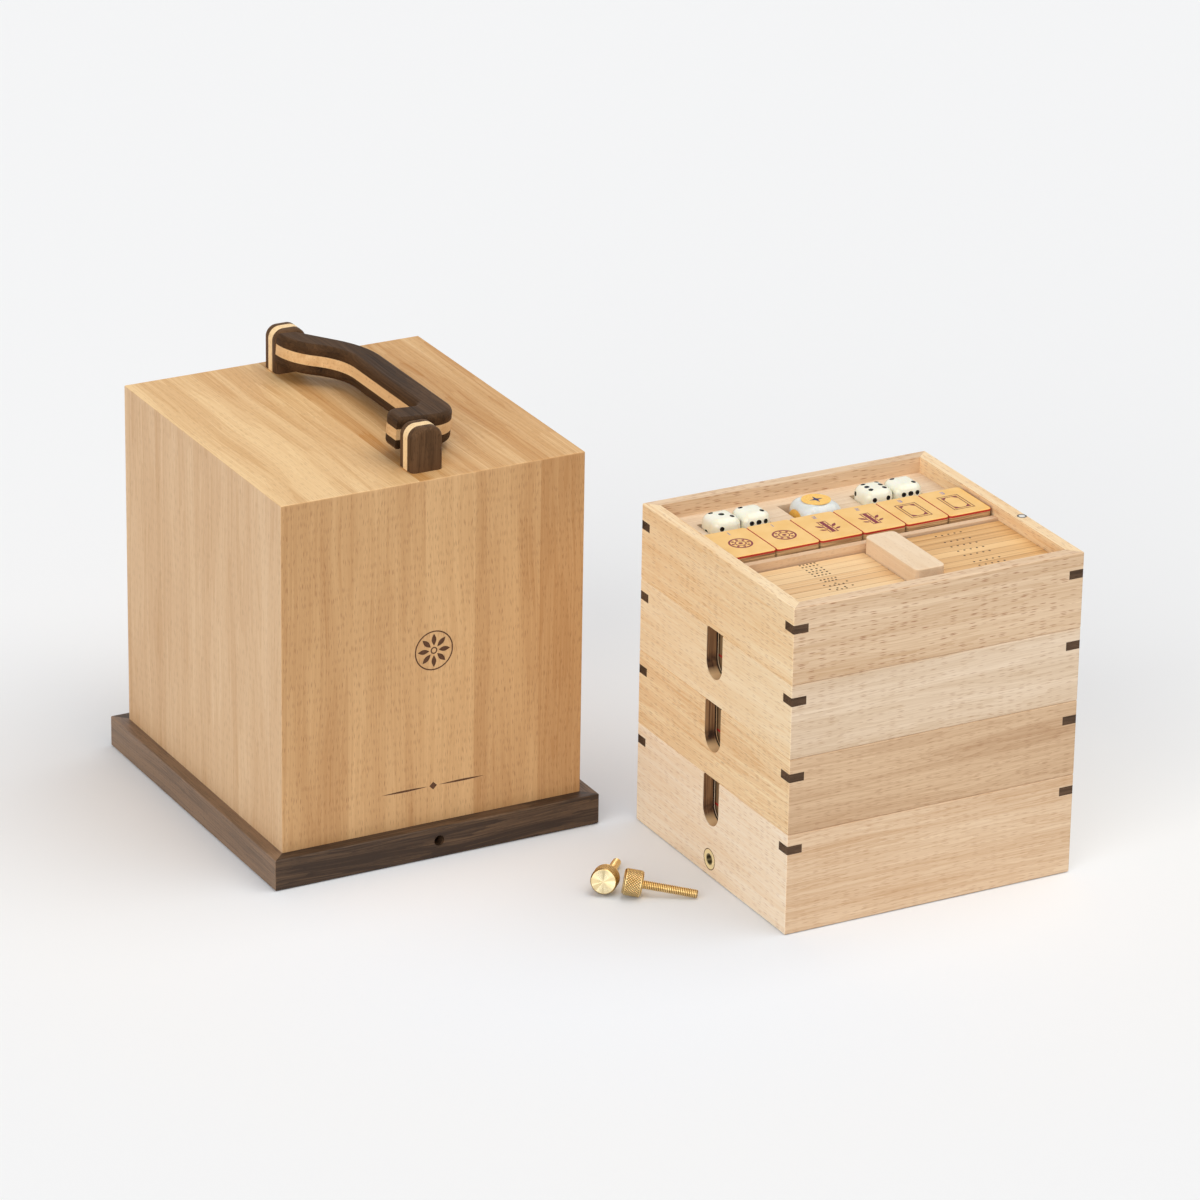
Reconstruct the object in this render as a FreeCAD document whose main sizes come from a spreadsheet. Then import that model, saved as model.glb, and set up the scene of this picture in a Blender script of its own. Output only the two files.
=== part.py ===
import FreeCAD, Part
import os
import re

import Sketcher

# A wooden case for a tile game: four stacked trays, the tall cover that drops over them with its
# folding carry handle, the two thumbscrews that lock it, and the pieces kept in the trays.
#
# The cover stands open beside the trays. +X runs along the fronts, +Y to the back and +Z up.
# The origin is on the floor, under the middle of the whole layout. All sizes are in millimetres.

# Driving sizes. Each one is a cell of the sheet and is written here only.
sizes = {
    # how the cover and the trays stand beside each other
    "row_gap": 26.0,              # skirt to trays, left to right
    "row_step": 4.4,              # skirt to trays, front to back

    # cover: five mitred boards
    "cover_side_play": 1.1,       # cover to trays, when it is on
    "cover_end_play": 1.3,
    "cover_headroom": 25.9,
    "hood_side_wall": 9.0,
    "hood_end_wall": 12.0,
    "hood_top_wall": 11.6,
    "edge_ease": 0.9,             # sanded outer edges of every box

    # walnut skirt round the foot of the cover, and the thumbscrew holes
    "skirt_thickness": 9.5,
    "skirt_height": 21.7,
    "screw_level": 12.0,          # holes and inserts above the floor
    "screw_hole_radius": 3.75,

    # handle posts, three layers each
    "post_width": 23.0,
    "post_height": 30.0,
    "post_crown": 8.0,            # radius of the top corners
    "post_core": 6.0,
    "post_cheek": 6.8,
    "post_round": 3.5,
    "front_post_inset": 13.3,
    "back_post_inset": 7.3,
    "pivot_offset": 1.5,          # pivot line, right of the middle of the cover
    "pivot_rise": 18.5,           # pivot line above the cover
    "post_screw_radius": 2.0,
    "post_screw_head": 4.0,
    "post_screw_sink": 2.4,       # depth of the countersunk head
    "post_screw_reach": 15.5,     # length of the screw inside the post
    "post_screw_spread": 12.0,

    # grip: a flat bail of three layers, cut to one outline
    "grip_sag": 4.5,              # degrees the bar hangs below level
    "grip_core": 7.4,
    "grip_face": 7.3,
    "grip_round": 3.5,
    "grip_nose": 11.6,            # how far the arms pass the pivot
    "bar_inner": 17.2,            # pivot to the inside of the bar
    "bar_width": 20.4,
    "arm_width": 22.6,            # front arm
    "front_arm_clearance": 3.3,   # air between an arm and its post
    "back_arm_clearance": 2.1,
    "nose_radius": 11.0,
    "inner_corner": 8.0,
    "outer_corner": 23.0,
    "outer_bend": 56.0,           # radius outside the long back bend
    "outer_bend_reach": 57.8,     # from the back end to where it starts
    "outer_bend_turn": 42.0,      # degrees
    "inner_bend": 35.0,
    "inner_bend_reach": 58.5,
    "inner_bend_turn": 55.0,      # degrees
    "inner_return": 36.0,         # the reverse curve that meets the back post
    "pin_radius": 2.0,
    "pin_play": 0.06,             # round the pin, in the arm
    "pin_end_play": 0.5,
    "pin_in_arm": 14.0,

    # trays
    "tray_wall": 9.0,
    "bottom_headroom": 2.9,       # tiles to the rim
    "middle_headroom": 2.9,
    "upper_headroom": 1.4,
    "top_height": 53.1,
    "floor_thickness": 6.0,
    "floor_rebate": 3.0,
    "floor_over_insert": 0.1,     # under the raised floor of the bottom tray
    "key_leg": 10.8,              # corner key along each wall
    "key_thickness": 6.0,
    "bottom_key_drop": 7.8,       # rim to the top of the key
    "middle_key_drop": 10.0,
    "upper_key_drop": 8.5,
    "top_key_drop": 11.6,
    "notch_width": 21.0,
    "notch_depth": 34.0,

    # threaded inserts in the bottom tray, and the blocks that back them
    "insert_radius": 5.4,
    "insert_length": 13.0,
    "flange_radius": 6.9,
    "flange_thickness": 1.3,
    "socket_radius": 4.04,        # corners of the 7 mm hexagon
    "socket_depth": 5.0,
    "insert_bore": 2.5,           # minor radius of the M6 thread
    "block_width": 40.0,
    "block_thickness": 12.0,
    "relief_radius": 3.2,         # lets the tip of a thumbscrew pass behind its insert

    # stud in the rim of the top tray
    "stud_radius": 3.3,
    "stud_length": 3.0,
    "stud_inset": 3.6,
    "stud_back": 71.0,

    # tiles
    "tile_width": 32.5,
    "tile_length": 42.5,
    "tile_thickness": 22.0,
    "tile_corner": 2.8,
    "tile_edge": 0.8,
    "tile_gap": 0.1,
    "tile_columns": 6,
    "tile_rows": 4,
    "tile_layers": 2,
    "tile_side_play": 1.45,       # tiles to the side walls
    "tile_end_play": 6.05,        # tiles to the front and back walls
    "spare_tile_drop": 2.4,       # rim of the top tray to the faces of the spare tiles
    "channel_play": 1.2,          # spare tiles, between the rail and the dice block

    # dice and the block that holds them
    "die_size": 22.0,
    "die_round": 4.0,
    "die_play": 0.4,
    "wind_die_size": 30.0,
    "wind_die_round": 8.5,
    "dice_block_drop": 11.1,
    "pocket_inset": 18.0,         # side wall to pocket
    "pocket_room": 1.7,           # beside the second die
    "pocket_side_room": 3.0,      # before and behind the dice
    "pocket_depth": 12.0,
    "pocket_back": 16.2,          # back wall to pocket
    "pocket_front": 10.2,
    "wind_pocket_room": 4.6,
    "wind_pocket_depth": 21.5,
    "wind_pocket_back": 10.9,
    "wind_pocket_front": 5.9,
    "wind_die_shift_x": 1.2,      # where the die has rolled to in its pocket
    "wind_die_shift_y": -1.8,

    # counting sticks, their bed, the rail behind them and the block between them
    "rail_thickness": 5.0,
    "rail_drop": 7.6,
    "stick_length": 79.5,
    "stick_width": 7.9,
    "stick_thickness": 4.2,
    "stick_gap": 0.15,
    "stick_layer_gap": 0.05,
    "stick_play": 0.5,            # to the front wall and the divider
    "stick_back_play": 1.45,      # to the rail
    "stick_end_play": 0.2,        # to the right wall
    "stick_finger_gap": 15.6,     # beside the left bundle
    "stick_columns": 10,
    "left_stick_layers": 4,
    "right_stick_layers": 5,
    "stick_bed_drop": 30.3,       # rim to the top of the bed
    "divider_width": 22.6,
    "divider_length": 65.8,
    "divider_drop": 1.9,
    "divider_corner": 4.0,
    "divider_play": 0.4,

    # thumbscrews, lying on the floor
    "head_radius": 9.0,
    "head_length": 12.6,
    "head_chamfer": 1.0,
    "shank_radius": 3.0,
    "shank_length": 36.6,
    "tip_chamfer": 0.6,
    "left_screw_away": 77.6,      # from the left faces of the trays
    "left_screw_back": 102.8,     # from the fronts of the trays
    "left_screw_heading": 51.0,   # degrees, from +X
    "right_screw_away": 65.3,
    "right_screw_back": 98.1,
    "right_screw_heading": -30.3,
}

# Sizes that follow from the driving ones, as formulas. The trays are as large as what they hold needs,
# and the cover is as large as the trays need.
formulas = {
    "tile_pitch_x": "tile_width + tile_gap",
    "tile_pitch_y": "tile_length + tile_gap",
    "tile_pitch_z": "tile_thickness + tile_gap",
    "tile_row_width": "tile_columns * tile_pitch_x - tile_gap",
    "tile_rows_depth": "tile_rows * tile_pitch_y - tile_gap",
    "tile_stack": "tile_layers * tile_pitch_z - tile_gap",
    "tile_channel": "tile_length + channel_play",
    "stick_pitch": "stick_width + stick_gap",
    "stick_rise": "stick_thickness + stick_layer_gap",
    "stick_band": "stick_columns * stick_pitch - stick_gap + stick_play + stick_back_play",
    "stick_bay": "stick_length + stick_play",
    "pocket_width": "2 * (die_size + die_play) + pocket_room",
    "pocket_length": "die_size + pocket_side_room",
    "wind_pocket_side": "wind_die_size + wind_pocket_room",
    "dice_pocket_band": "pocket_back + pocket_length + pocket_front",
    "wind_pocket_band": "wind_pocket_back + wind_pocket_side + wind_pocket_front",
    "stick_row_width": "stick_finger_gap + 2 * stick_bay + divider_width + stick_end_play",
    "contents_depth": "stick_band + rail_thickness + tile_channel + max(dice_pocket_band; wind_pocket_band)",

    "inner_width": "max(tile_row_width + 2 * tile_side_play; stick_row_width)",
    "inner_depth": "max(tile_rows_depth + 2 * tile_end_play; contents_depth)",
    "tray_width": "inner_width + 2 * tray_wall",
    "tray_depth": "inner_depth + 2 * tray_wall",
    "bottom_floor_level": "screw_level + insert_radius + floor_over_insert",
    "bottom_height": "bottom_floor_level + floor_thickness + tile_stack + bottom_headroom",
    "middle_height": "floor_thickness + tile_stack + middle_headroom",
    "upper_height": "floor_thickness + tile_stack + upper_headroom",

    "middle_level": "bottom_height",
    "upper_level": "middle_level + middle_height",
    "top_level": "upper_level + upper_height",
    "rim_level": "top_level + top_height",
    "hood_width": "tray_depth + 2 * cover_side_play + 2 * hood_side_wall",
    "hood_depth": "tray_width + 2 * cover_end_play + 2 * hood_end_wall",
    "hood_height": "rim_level + cover_headroom + hood_top_wall",

    "layout_width": "hood_width + 2 * skirt_thickness + row_gap + tray_width",
    "layout_depth": "hood_depth + 2 * skirt_thickness + row_step + tray_depth",
    "hood_left": "skirt_thickness - layout_width / 2",
    "hood_front": "layout_depth / 2 - skirt_thickness - hood_depth",
    "hood_back": "hood_front + hood_depth",
    "tray_left": "layout_width / 2 - tray_width",
    "tray_right": "tray_left + tray_width",
    "tray_front": "-layout_depth / 2",
    "tray_back": "tray_front + tray_depth",
    "tray_middle": "tray_front + tray_depth / 2",
    "inner_left": "tray_left + tray_wall",
    "inner_right": "tray_right - tray_wall",
    "inner_front": "tray_front + tray_wall",
    "inner_back": "tray_back - tray_wall",

    "post_depth": "post_core + 2 * post_cheek",
    "front_post_front": "hood_front + front_post_inset",
    "back_post_front": "hood_back - back_post_inset - post_depth",
    "front_post_middle": "front_post_front + post_depth / 2",
    "back_post_middle": "back_post_front + post_depth / 2",
    "grip_front": "front_post_front + post_depth + front_arm_clearance",
    "grip_length": "back_post_front - back_arm_clearance - grip_front",
    "pivot_x": "hood_left + hood_width / 2 + pivot_offset",
    "pivot_z": "hood_height + pivot_rise",
    "pin_in_post": "post_core + post_cheek",
    "front_pin_start": "front_post_front + post_cheek",
    "back_pin_start": "back_post_front - back_arm_clearance - pin_in_arm",

    "tile_start_x": "tray_left + (tray_width - tile_row_width) / 2",
    "tray_bed": "top_level + floor_thickness",
    "dice_block_depth": "inner_depth - stick_band - rail_thickness - tile_channel",
    "rail_front": "inner_front + stick_band",
    "channel_front": "rail_front + rail_thickness",
    "block_front": "channel_front + tile_channel",
    "block_top": "rim_level - dice_block_drop",
    "tile_bed_top": "rim_level - spare_tile_drop - tile_thickness",
    "stick_bed_top": "rim_level - stick_bed_drop",
    "divider_right": "inner_right - stick_end_play - stick_bay",
    "divider_left": "divider_right - divider_width",
}

doc = FreeCAD.newDocument("tile_game_case")
sheet = doc.addObject("Spreadsheet::Sheet", "Sizes")
for row, (alias, value) in enumerate(sizes.items(), start=1):
    sheet.set(f"A{row}", alias)
    sheet.set(f"B{row}", str(value))
    sheet.setAlias(f"B{row}", alias)
doc.recompute()


# ---- small helpers -------------------------------------------------------------------------

def tie(text):
    """The expression with every formula written out and every size pointed at its cell."""
    def meaning(found):
        word = found.group(0)
        if word in formulas:
            return f"({tie(formulas[word])})"
        return f"Sizes.{word}" if word in sizes else word

    return re.sub(r"(?<!\.)\b[a-z_]+\b", meaning, text)


def number(text):
    """What an expression comes to now."""
    found = sheet.evalExpression(tie(text))
    return float(getattr(found, "Value", found))


def bind(thing, **expressions):
    for key, text in expressions.items():
        thing.setExpression(key, tie(text))
    return thing


def place(thing, x="0", y="0", z="0", yaw="0", pitch="0", roll="0"):
    spot = f"vector({x}; {y}; {z})"
    thing.setExpression("Placement", tie(f"placement({spot}; rotation({yaw}; {pitch}; {roll}))"))
    return thing


def box(name, size, at, yaw="0"):
    made = doc.addObject("Part::Box", name)
    bind(made, Length=size[0], Width=size[1], Height=size[2])
    return place(made, *at, yaw=yaw)


def cylinder(name, radius, length, at, pitch="0", roll="0"):
    """Along +Z unless it is turned: pitch 90 points it along +X, roll -90 along +Y."""
    made = doc.addObject("Part::Cylinder", name)
    bind(made, Radius=radius, Height=length)
    return place(made, *at, pitch=pitch, roll=roll)


def board(name, length, height, thickness, end_cut, top_cut, at, yaw="0", foot_cut="0", roll="0"):
    """A mitred board. Its outer face is at local Y = 0, and the ends lean in by end_cut."""
    made = doc.addObject("Part::Wedge", name)
    bind(made, Xmin="0", Ymin="0", Zmin="0", Xmax=length, Ymax=thickness, Zmax=height)
    bind(made, X2min=end_cut, X2max=f"{length} - {end_cut}", Z2min=foot_cut, Z2max=f"{height} - {top_cut}")
    return place(made, *at, yaw=yaw, roll=roll)


def cut(name, base, *tools):
    made = base
    for count, tool in enumerate(tools):
        step = doc.addObject("Part::Cut", name if count == len(tools) - 1 else f"{name}_cut_{count}")
        step.Base = made
        step.Tool = tool
        made = step
    return made


def common(name, base, tool):
    made = doc.addObject("Part::Common", name)
    made.Base = base
    made.Tool = tool
    return made


def joined(name, *pieces):
    made = doc.addObject("Part::MultiFuse", name)
    made.Shapes = list(pieces)
    return made


def group(name, pieces):
    """Separate solids that share one node."""
    made = doc.addObject("Part::Compound", name)
    made.Links = list(pieces)
    return made


def origin_feature(body, role):
    return next(item for item in body.Origin.OriginFeatures if item.Role == role)


def arc_middle(start, end, radius, side):
    """The middle point of the short arc from start to end; side 1 puts its centre on the left."""
    chord = end - start
    half = chord.Length / 2
    left = FreeCAD.Vector(-chord.y, chord.x, 0).normalize()
    centre = (start + end) / 2 + left * (side * (radius ** 2 - half ** 2) ** 0.5)
    return centre - left * (side * radius)


def outline(body, name, corners):
    """A closed sketch on the body's XY plane. A corner is (x, y) or (x, y, radius, side): then an arc
    of that radius runs from it to the next corner."""
    sketch = body.newObject("Sketcher::SketchObject", name)
    sketch.AttachmentSupport = [(origin_feature(body, "XY_Plane"), "")]
    sketch.MapMode = "FlatFace"
    points = [FreeCAD.Vector(number(corner[0]), number(corner[1]), 0) for corner in corners]
    first = []                                   # which end of each edge its corner is
    for index, corner in enumerate(corners):
        start, end = points[index], points[(index + 1) % len(points)]
        if len(corner) == 2:
            sketch.addGeometry(Part.LineSegment(start, end), False)
        else:
            middle = arc_middle(start, end, number(corner[2]), corner[3])
            sketch.addGeometry(Part.Arc(start, middle, end), False)
        first.append(1 if (sketch.getPoint(index, 1) - start).Length < 1e-6 else 2)
    for index, corner in enumerate(corners):
        after = (index + 1) % len(corners)
        sketch.addConstraint(Sketcher.Constraint("Coincident", index, 3 - first[index], after, first[after]))
        for kind, text in (("DistanceX", corner[0]), ("DistanceY", corner[1])):
            made = sketch.addConstraint(Sketcher.Constraint(kind, -1, 1, index, first[index], number(text)))
            sketch.setExpression(f"Constraints[{made}]", tie(text))
        if len(corner) > 2:
            made = sketch.addConstraint(Sketcher.Constraint("Radius", index, number(corner[2])))
            sketch.setExpression(f"Constraints[{made}]", tie(corner[2]))
    return sketch


def padded(name, corners, thickness):
    """A body with one outline, padded upwards from its XY plane."""
    body = doc.addObject("PartDesign::Body", name)
    pad = body.newObject("PartDesign::Pad", f"{name}_pad")
    pad.Profile = outline(body, f"{name}_outline", corners)
    bind(pad, Length=thickness)
    doc.recompute()
    return body


def rounded(body, radius, wanted):
    """Rounds the edges of the body's tip that wanted() picks by their middle point and direction."""
    base = body.Tip
    names = []
    for index, edge in enumerate(base.Shape.Edges, start=1):
        middle = edge.valueAt((edge.FirstParameter + edge.LastParameter) / 2)
        if wanted(middle, edge.tangentAt(edge.FirstParameter)):
            names.append(f"Edge{index}")
    fillet = body.newObject("PartDesign::Fillet", f"{body.Name}_round")
    fillet.Base = (base, names)
    bind(fillet, Radius=radius)
    doc.recompute()
    return body


def rectangle(length, width):
    return [("0", "0"), (length, "0"), (length, width), ("0", width)]


def around(name, left, front, width, depth, reach="0"):
    """A box's plan, grown by reach on every side."""
    return {"name": name, "left": f"({left} - {reach})", "front": f"({front} - {reach})",
            "width": f"({width} + 2 * {reach})", "depth": f"({depth} + 2 * {reach})"}


def eased_box(name, size, at, radius="edge_ease"):
    """The outer form of a box with every edge eased; boards are trimmed to it."""
    body = padded(name, rectangle(size[0], size[1]), size[2])
    return place(rounded(body, radius, lambda middle, along: True), *at)


def upright(middle, along):
    return abs(along.z) > 0.99


def patterned(body, columns, column_step, rows, row_step, layers, layer_step):
    """Repeats the whole body along X, Y and Z as separate solids."""
    body.AllowCompound = True
    whole = body.newObject("PartDesign::MultiTransform", f"{body.Name}_pattern")
    whole.TransformMode = "Whole shape"
    steps = []
    for axis, count, step in (("X", columns, column_step), ("Y", rows, row_step), ("Z", layers, layer_step)):
        if count is None:
            continue
        line = body.newObject("PartDesign::LinearPattern", f"{body.Name}_along_{axis}")
        line.Direction = (origin_feature(body, f"{axis}_Axis"), [""])
        bind(line, Occurrences=count, Length=f"({step}) * ({count} - 1)")
        steps.append(line)
    whole.Transformations = steps
    body.Tip = whole
    return body


parts = {}


def keep(name, thing):
    """Makes the object a node of the finished part."""
    thing.Label = name
    parts[name] = thing
    return thing


# ---- the cover -----------------------------------------------------------------------------

def four_boards(plan, level, height, side_wall, end_wall, top_cut="0"):
    """The four mitred boards of a box, trimmed to its eased outer form. The form comes back too."""
    left, front = plan["left"], plan["front"]
    right, back = f"({left} + {plan['width']})", f"({front} + {plan['depth']})"
    form = eased_box(f"{plan['name']}_form", (plan["width"], plan["depth"], height), (left, front, level))
    sides = {
        "front": (plan["width"], end_wall, side_wall, (left, front, level), "0"),
        "back": (plan["width"], end_wall, side_wall, (right, back, level), "180"),
        "left": (plan["depth"], side_wall, end_wall, (left, back, level), "-90"),
        "right": (plan["depth"], side_wall, end_wall, (right, front, level), "90"),
    }
    boards = {}
    for side, (length, thickness, end_cut, at, yaw) in sides.items():
        blank = board(f"{plan['name']}_{side}_blank", length, height, thickness, end_cut, top_cut, at, yaw)
        boards[side] = common(f"{plan['name']}_{side}_sawn", blank, form)
    return boards, form


def build_hood():
    plan = around("hood", "hood_left", "hood_front", "hood_width", "hood_depth")
    skirt_plan = around("skirt", "hood_left", "hood_front", "hood_width", "hood_depth", "skirt_thickness")
    panels, form = four_boards(plan, "0", "hood_height", "hood_side_wall", "hood_end_wall", "hood_top_wall")
    rails = four_boards(skirt_plan, "0", "skirt_height", "skirt_thickness", "skirt_thickness")[0]
    drill = cylinder("hood_drill", "screw_hole_radius", "hood_depth + 4 * skirt_thickness",
                     ("hood_left + hood_width / 2", "hood_front - 2 * skirt_thickness", "screw_level"),
                     roll="-90")
    for side in ("front", "back"):
        keep(f"hood_{side}_panel", cut(f"hood_{side}_panel", panels[side], drill))
        keep(f"skirt_{side}_rail", cut(f"skirt_{side}_rail", rails[side], drill))
    for side in ("left", "right"):
        keep(f"hood_{side}_panel", panels[side])
        keep(f"skirt_{side}_rail", rails[side])

    blank = board("hood_top_blank", "hood_width", "hood_depth", "hood_top_wall", "hood_side_wall",
                  "hood_end_wall", ("hood_left", "hood_front", "hood_height"), "0", "hood_end_wall", "-90")
    trimmed = common("hood_top_sawn", blank, form)
    screws = build_post_screws()
    keep("hood_top_panel", cut("hood_top_panel", trimmed, screws))
    keep("post_screws", screws)
    return screws


def build_post_screws():
    """Two countersunk screws up into the core of each post."""
    made = []
    under = "(hood_height - hood_top_wall)"
    for post, middle in (("front", "front_post_middle"), ("back", "back_post_middle")):
        for side, sign in (("left", "-"), ("right", "+")):
            x = f"pivot_x {sign} post_screw_spread / 2"
            head = doc.addObject("Part::Cone", f"{post}_{side}_screw_head")
            bind(head, Radius1="post_screw_head", Radius2="post_screw_radius", Height="post_screw_sink")
            place(head, x, middle, under)
            shank = cylinder(f"{post}_{side}_screw_shank", "post_screw_radius",
                             "hood_top_wall + post_screw_reach", (x, middle, under))
            made.append(joined(f"{post}_{side}_post_screw", head, shank))
    return group("post_screws", made)


# ---- the handle posts and pins -------------------------------------------------------------

def post_layer(name, thickness, back_face, rounded_face=None):
    """One layer of a post: an arched board whose thickness runs towards -Y from back_face."""
    half = "post_width / 2"
    shoulder = "post_height - post_crown"
    crown = "post_width / 2 - post_crown"
    corners = [
        (f"-{half}", "0"), (half, "0"),
        (half, shoulder, "post_crown", 1), (crown, "post_height"),
        (f"-({crown})", "post_height", "post_crown", 1), (f"-{half}", shoulder),
    ]
    body = padded(name, corners, thickness)
    if rounded_face is not None:
        face = number(thickness) if rounded_face == "near" else 0
        rounded(body, "post_round", lambda middle, along: abs(middle.z - face) < 1e-6 and middle.y > 1e-6)
    return place(body, "pivot_x", back_face, "hood_height", roll="90")


def build_post(side, front_face, clearance, pin_start, screws):
    """A walnut, beech and walnut post with the bore for its pivot pin."""
    near = post_layer(f"{side}_post_near_cheek", "post_cheek", f"{front_face} + post_cheek", "near")
    core = post_layer(f"{side}_post_core_board", "post_core", f"{front_face} + post_cheek + post_core")
    far = post_layer(f"{side}_post_far_cheek", "post_cheek", f"{front_face} + post_depth", "far")
    pin_at = ("pivot_x", pin_start, "pivot_z")
    pin = cylinder(f"{side}_pivot_pin", "pin_radius", f"pin_in_post + {clearance} + pin_in_arm", pin_at,
                   roll="-90")
    near = cut(f"{side}_post_near_drilled", near, pin)
    far = cut(f"{side}_post_far_drilled", far, pin)
    keep(f"{side}_post_cheeks", group(f"{side}_post_cheeks", [near, far]))
    keep(f"{side}_post_core", cut(f"{side}_post_core", core, pin, screws))
    return pin


# ---- the grip ------------------------------------------------------------------------------

def grip_outline():
    """The bail seen from above. X is measured from the pivot line and Y from the end of the front arm.
    The front arm turns into the bar in a tight corner, and the back one in a long double bend."""
    outer = "(bar_inner + bar_width)"
    bend_start = "(grip_length - outer_bend_reach)"
    bend_end_x = f"({outer} - outer_bend * (1 - cos(outer_bend_turn * 1deg)))"
    bend_end_y = f"({bend_start} + outer_bend * sin(outer_bend_turn * 1deg))"
    tip_x = f"({bend_end_x} - (grip_length - {bend_end_y}) * tan(outer_bend_turn * 1deg))"
    centre_x = "(bar_inner - inner_bend)"
    centre_y = "(grip_length - inner_bend_reach)"
    turn_x = f"({centre_x} + inner_bend * cos(inner_bend_turn * 1deg))"
    turn_y = f"({centre_y} + inner_bend * sin(inner_bend_turn * 1deg))"
    return_x = f"({centre_x} + (inner_bend + inner_return) * cos(inner_bend_turn * 1deg))"
    return_y = f"({centre_y} + (inner_bend + inner_return) * sin(inner_bend_turn * 1deg))"
    heel_x = f"({return_x} - sqrt(inner_return ^ 2 - (grip_length - {return_y}) ^ 2))"
    return [
        ("-grip_nose", "0"),
        (f"{outer} - outer_corner", "0", "outer_corner", 1),
        (outer, "outer_corner"),
        (outer, bend_start, "outer_bend", 1),
        (bend_end_x, bend_end_y),
        (tip_x, "grip_length"),
        (heel_x, "grip_length", "inner_return", 1),
        (turn_x, turn_y, "inner_bend", -1),
        ("bar_inner", centre_y),
        ("bar_inner", "arm_width + inner_corner", "inner_corner", -1),
        ("bar_inner - inner_corner", "arm_width"),
        ("-grip_nose + nose_radius", "arm_width", "nose_radius", 1),
        ("-grip_nose", "arm_width - nose_radius"),
    ]


def grip_layer(name, thickness, rise, rounded_at=None):
    """One board of the grip, its lower face at rise from the pivot line. The bail hangs by grip_sag.
    rounded_at is the height in the board of the face whose long edges are rounded over."""
    body = padded(name, grip_outline(), thickness)
    if rounded_at is not None:
        height, length = number(rounded_at), number("grip_length")
        rounded(body, "grip_round", lambda middle, along: abs(middle.z - height) < 1e-6
                and 1e-3 < middle.y < length - 1e-3)
    x = f"pivot_x + {rise} * sin(grip_sag * 1deg)"
    z = f"pivot_z + {rise} * cos(grip_sag * 1deg)"
    return place(body, x, "grip_front", z, pitch="grip_sag")


def build_grip(pins):
    keep("grip_bottom_layer", grip_layer("grip_bottom_board", "grip_face", "(-grip_core / 2 - grip_face)",
                                         "0"))
    core = grip_layer("grip_core_board", "grip_core", "(-grip_core / 2)")
    keep("grip_top_layer", grip_layer("grip_top_board", "grip_face", "(grip_core / 2)", "grip_face"))
    bore_length = "(pin_in_arm + pin_end_play)"
    front_bore = cylinder("front_pin_bore", "pin_radius + pin_play", bore_length,
                          ("pivot_x", "grip_front", "pivot_z"), roll="-90")
    back_bore = cylinder("back_pin_bore", "pin_radius + pin_play", bore_length,
                         ("pivot_x", f"grip_front + grip_length - {bore_length}", "pivot_z"), roll="-90")
    keep("grip_core_layer", cut("grip_core_layer", core, front_bore, back_bore))
    keep("pivot_pins", group("pivot_pins", pins))


# ---- the trays -----------------------------------------------------------------------------

def corner_keys(name, level, height, drop, form):
    """Four triangular walnut keys let into the mitred corners."""
    key_level = f"({level} + {height} - {drop} - key_thickness)"
    corners = {
        "front_left": ("tray_left", "tray_front", "0"),
        "front_right": ("tray_right", "tray_front", "90"),
        "back_right": ("tray_right", "tray_back", "180"),
        "back_left": ("tray_left", "tray_back", "-90"),
    }
    made = []
    for corner, (x, y, yaw) in corners.items():
        blank = board(f"{name}_{corner}_key_blank", "key_leg", "key_thickness", "key_leg", "0", "0",
                      (x, y, key_level), yaw)
        blank.setExpression("X2max", "0")
        made.append(common(f"{name}_{corner}_key", blank, form))
    return group(f"{name}_corner_keys", made)


def finger_notch(name, wall_left, level, height):
    """A slot with a round bottom, cut down from the rim in the middle of a side wall."""
    foot = f"({level} + {height} - notch_depth + notch_width / 2)"
    start = f"{wall_left} - tray_wall / 2"
    slot = box(f"{name}_slot", ("2 * tray_wall", "notch_width", "notch_depth"),
               (start, "tray_middle - notch_width / 2", foot))
    at = (start, "tray_middle", foot)
    root = cylinder(f"{name}_root", "notch_width / 2", "2 * tray_wall", at, pitch="90")
    return joined(name, slot, root)


def build_tray(name, level, height, drop, floor_level, notched=True):
    """Four mitred walls, a floor let into a rebate and four corner keys. Returns the side walls."""
    plan = around(name, "tray_left", "tray_front", "tray_width", "tray_depth")
    walls, form = four_boards(plan, level, height, "tray_wall", "tray_wall")
    inset = "(tray_wall - floor_rebate)"
    floor_size = (f"tray_width - 2 * {inset}", f"tray_depth - 2 * {inset}", "floor_thickness")
    floor_at = (f"tray_left + {inset}", f"tray_front + {inset}", floor_level)
    floor = box(f"{name}_floor", floor_size, floor_at)
    keys = corner_keys(name, level, height, drop, form)
    keep(f"{name}_floor", floor)
    keep(f"{name}_corner_keys", keys)
    for side in ("front", "back"):
        keep(f"{name}_{side}_wall", cut(f"{name}_{side}_wall", walls[side], floor, keys))
    sides = {}
    for side, wall_left in (("left", "tray_left"), ("right", "inner_right")):
        tools = [floor, keys]
        if notched:
            tools.append(finger_notch(f"{name}_{side}_notch", wall_left, level, height))
        sides[side] = cut(f"{name}_{side}_wall", walls[side], *tools)
    return sides


def build_insert(side, face_x):
    """A flanged M6 insert with a hexagon socket, its mouth flush with the wall's face at face_x."""
    def start(length):
        return face_x if side == "left" else f"{face_x} - {length}"

    def drilled(word, radius, length):
        at = (start(length), "tray_middle", "screw_level")
        return cylinder(f"{side}_insert_{word}", radius, length, at, pitch="90")

    barrel = drilled("barrel", "insert_radius", "insert_length")
    flange = drilled("flange", "flange_radius", "flange_thickness")
    blank = joined(f"{side}_insert_blank", barrel, flange)
    socket = doc.addObject("Part::Prism", f"{side}_insert_socket")
    socket.Polygon = 6
    bind(socket, Circumradius="socket_radius", Height="socket_depth")
    place(socket, start("socket_depth"), "tray_middle", "screw_level", pitch="90")
    bore = drilled("bore", "insert_bore", "insert_length")
    return cut(f"{side}_threaded_insert", blank, socket, bore), (barrel, flange)


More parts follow.
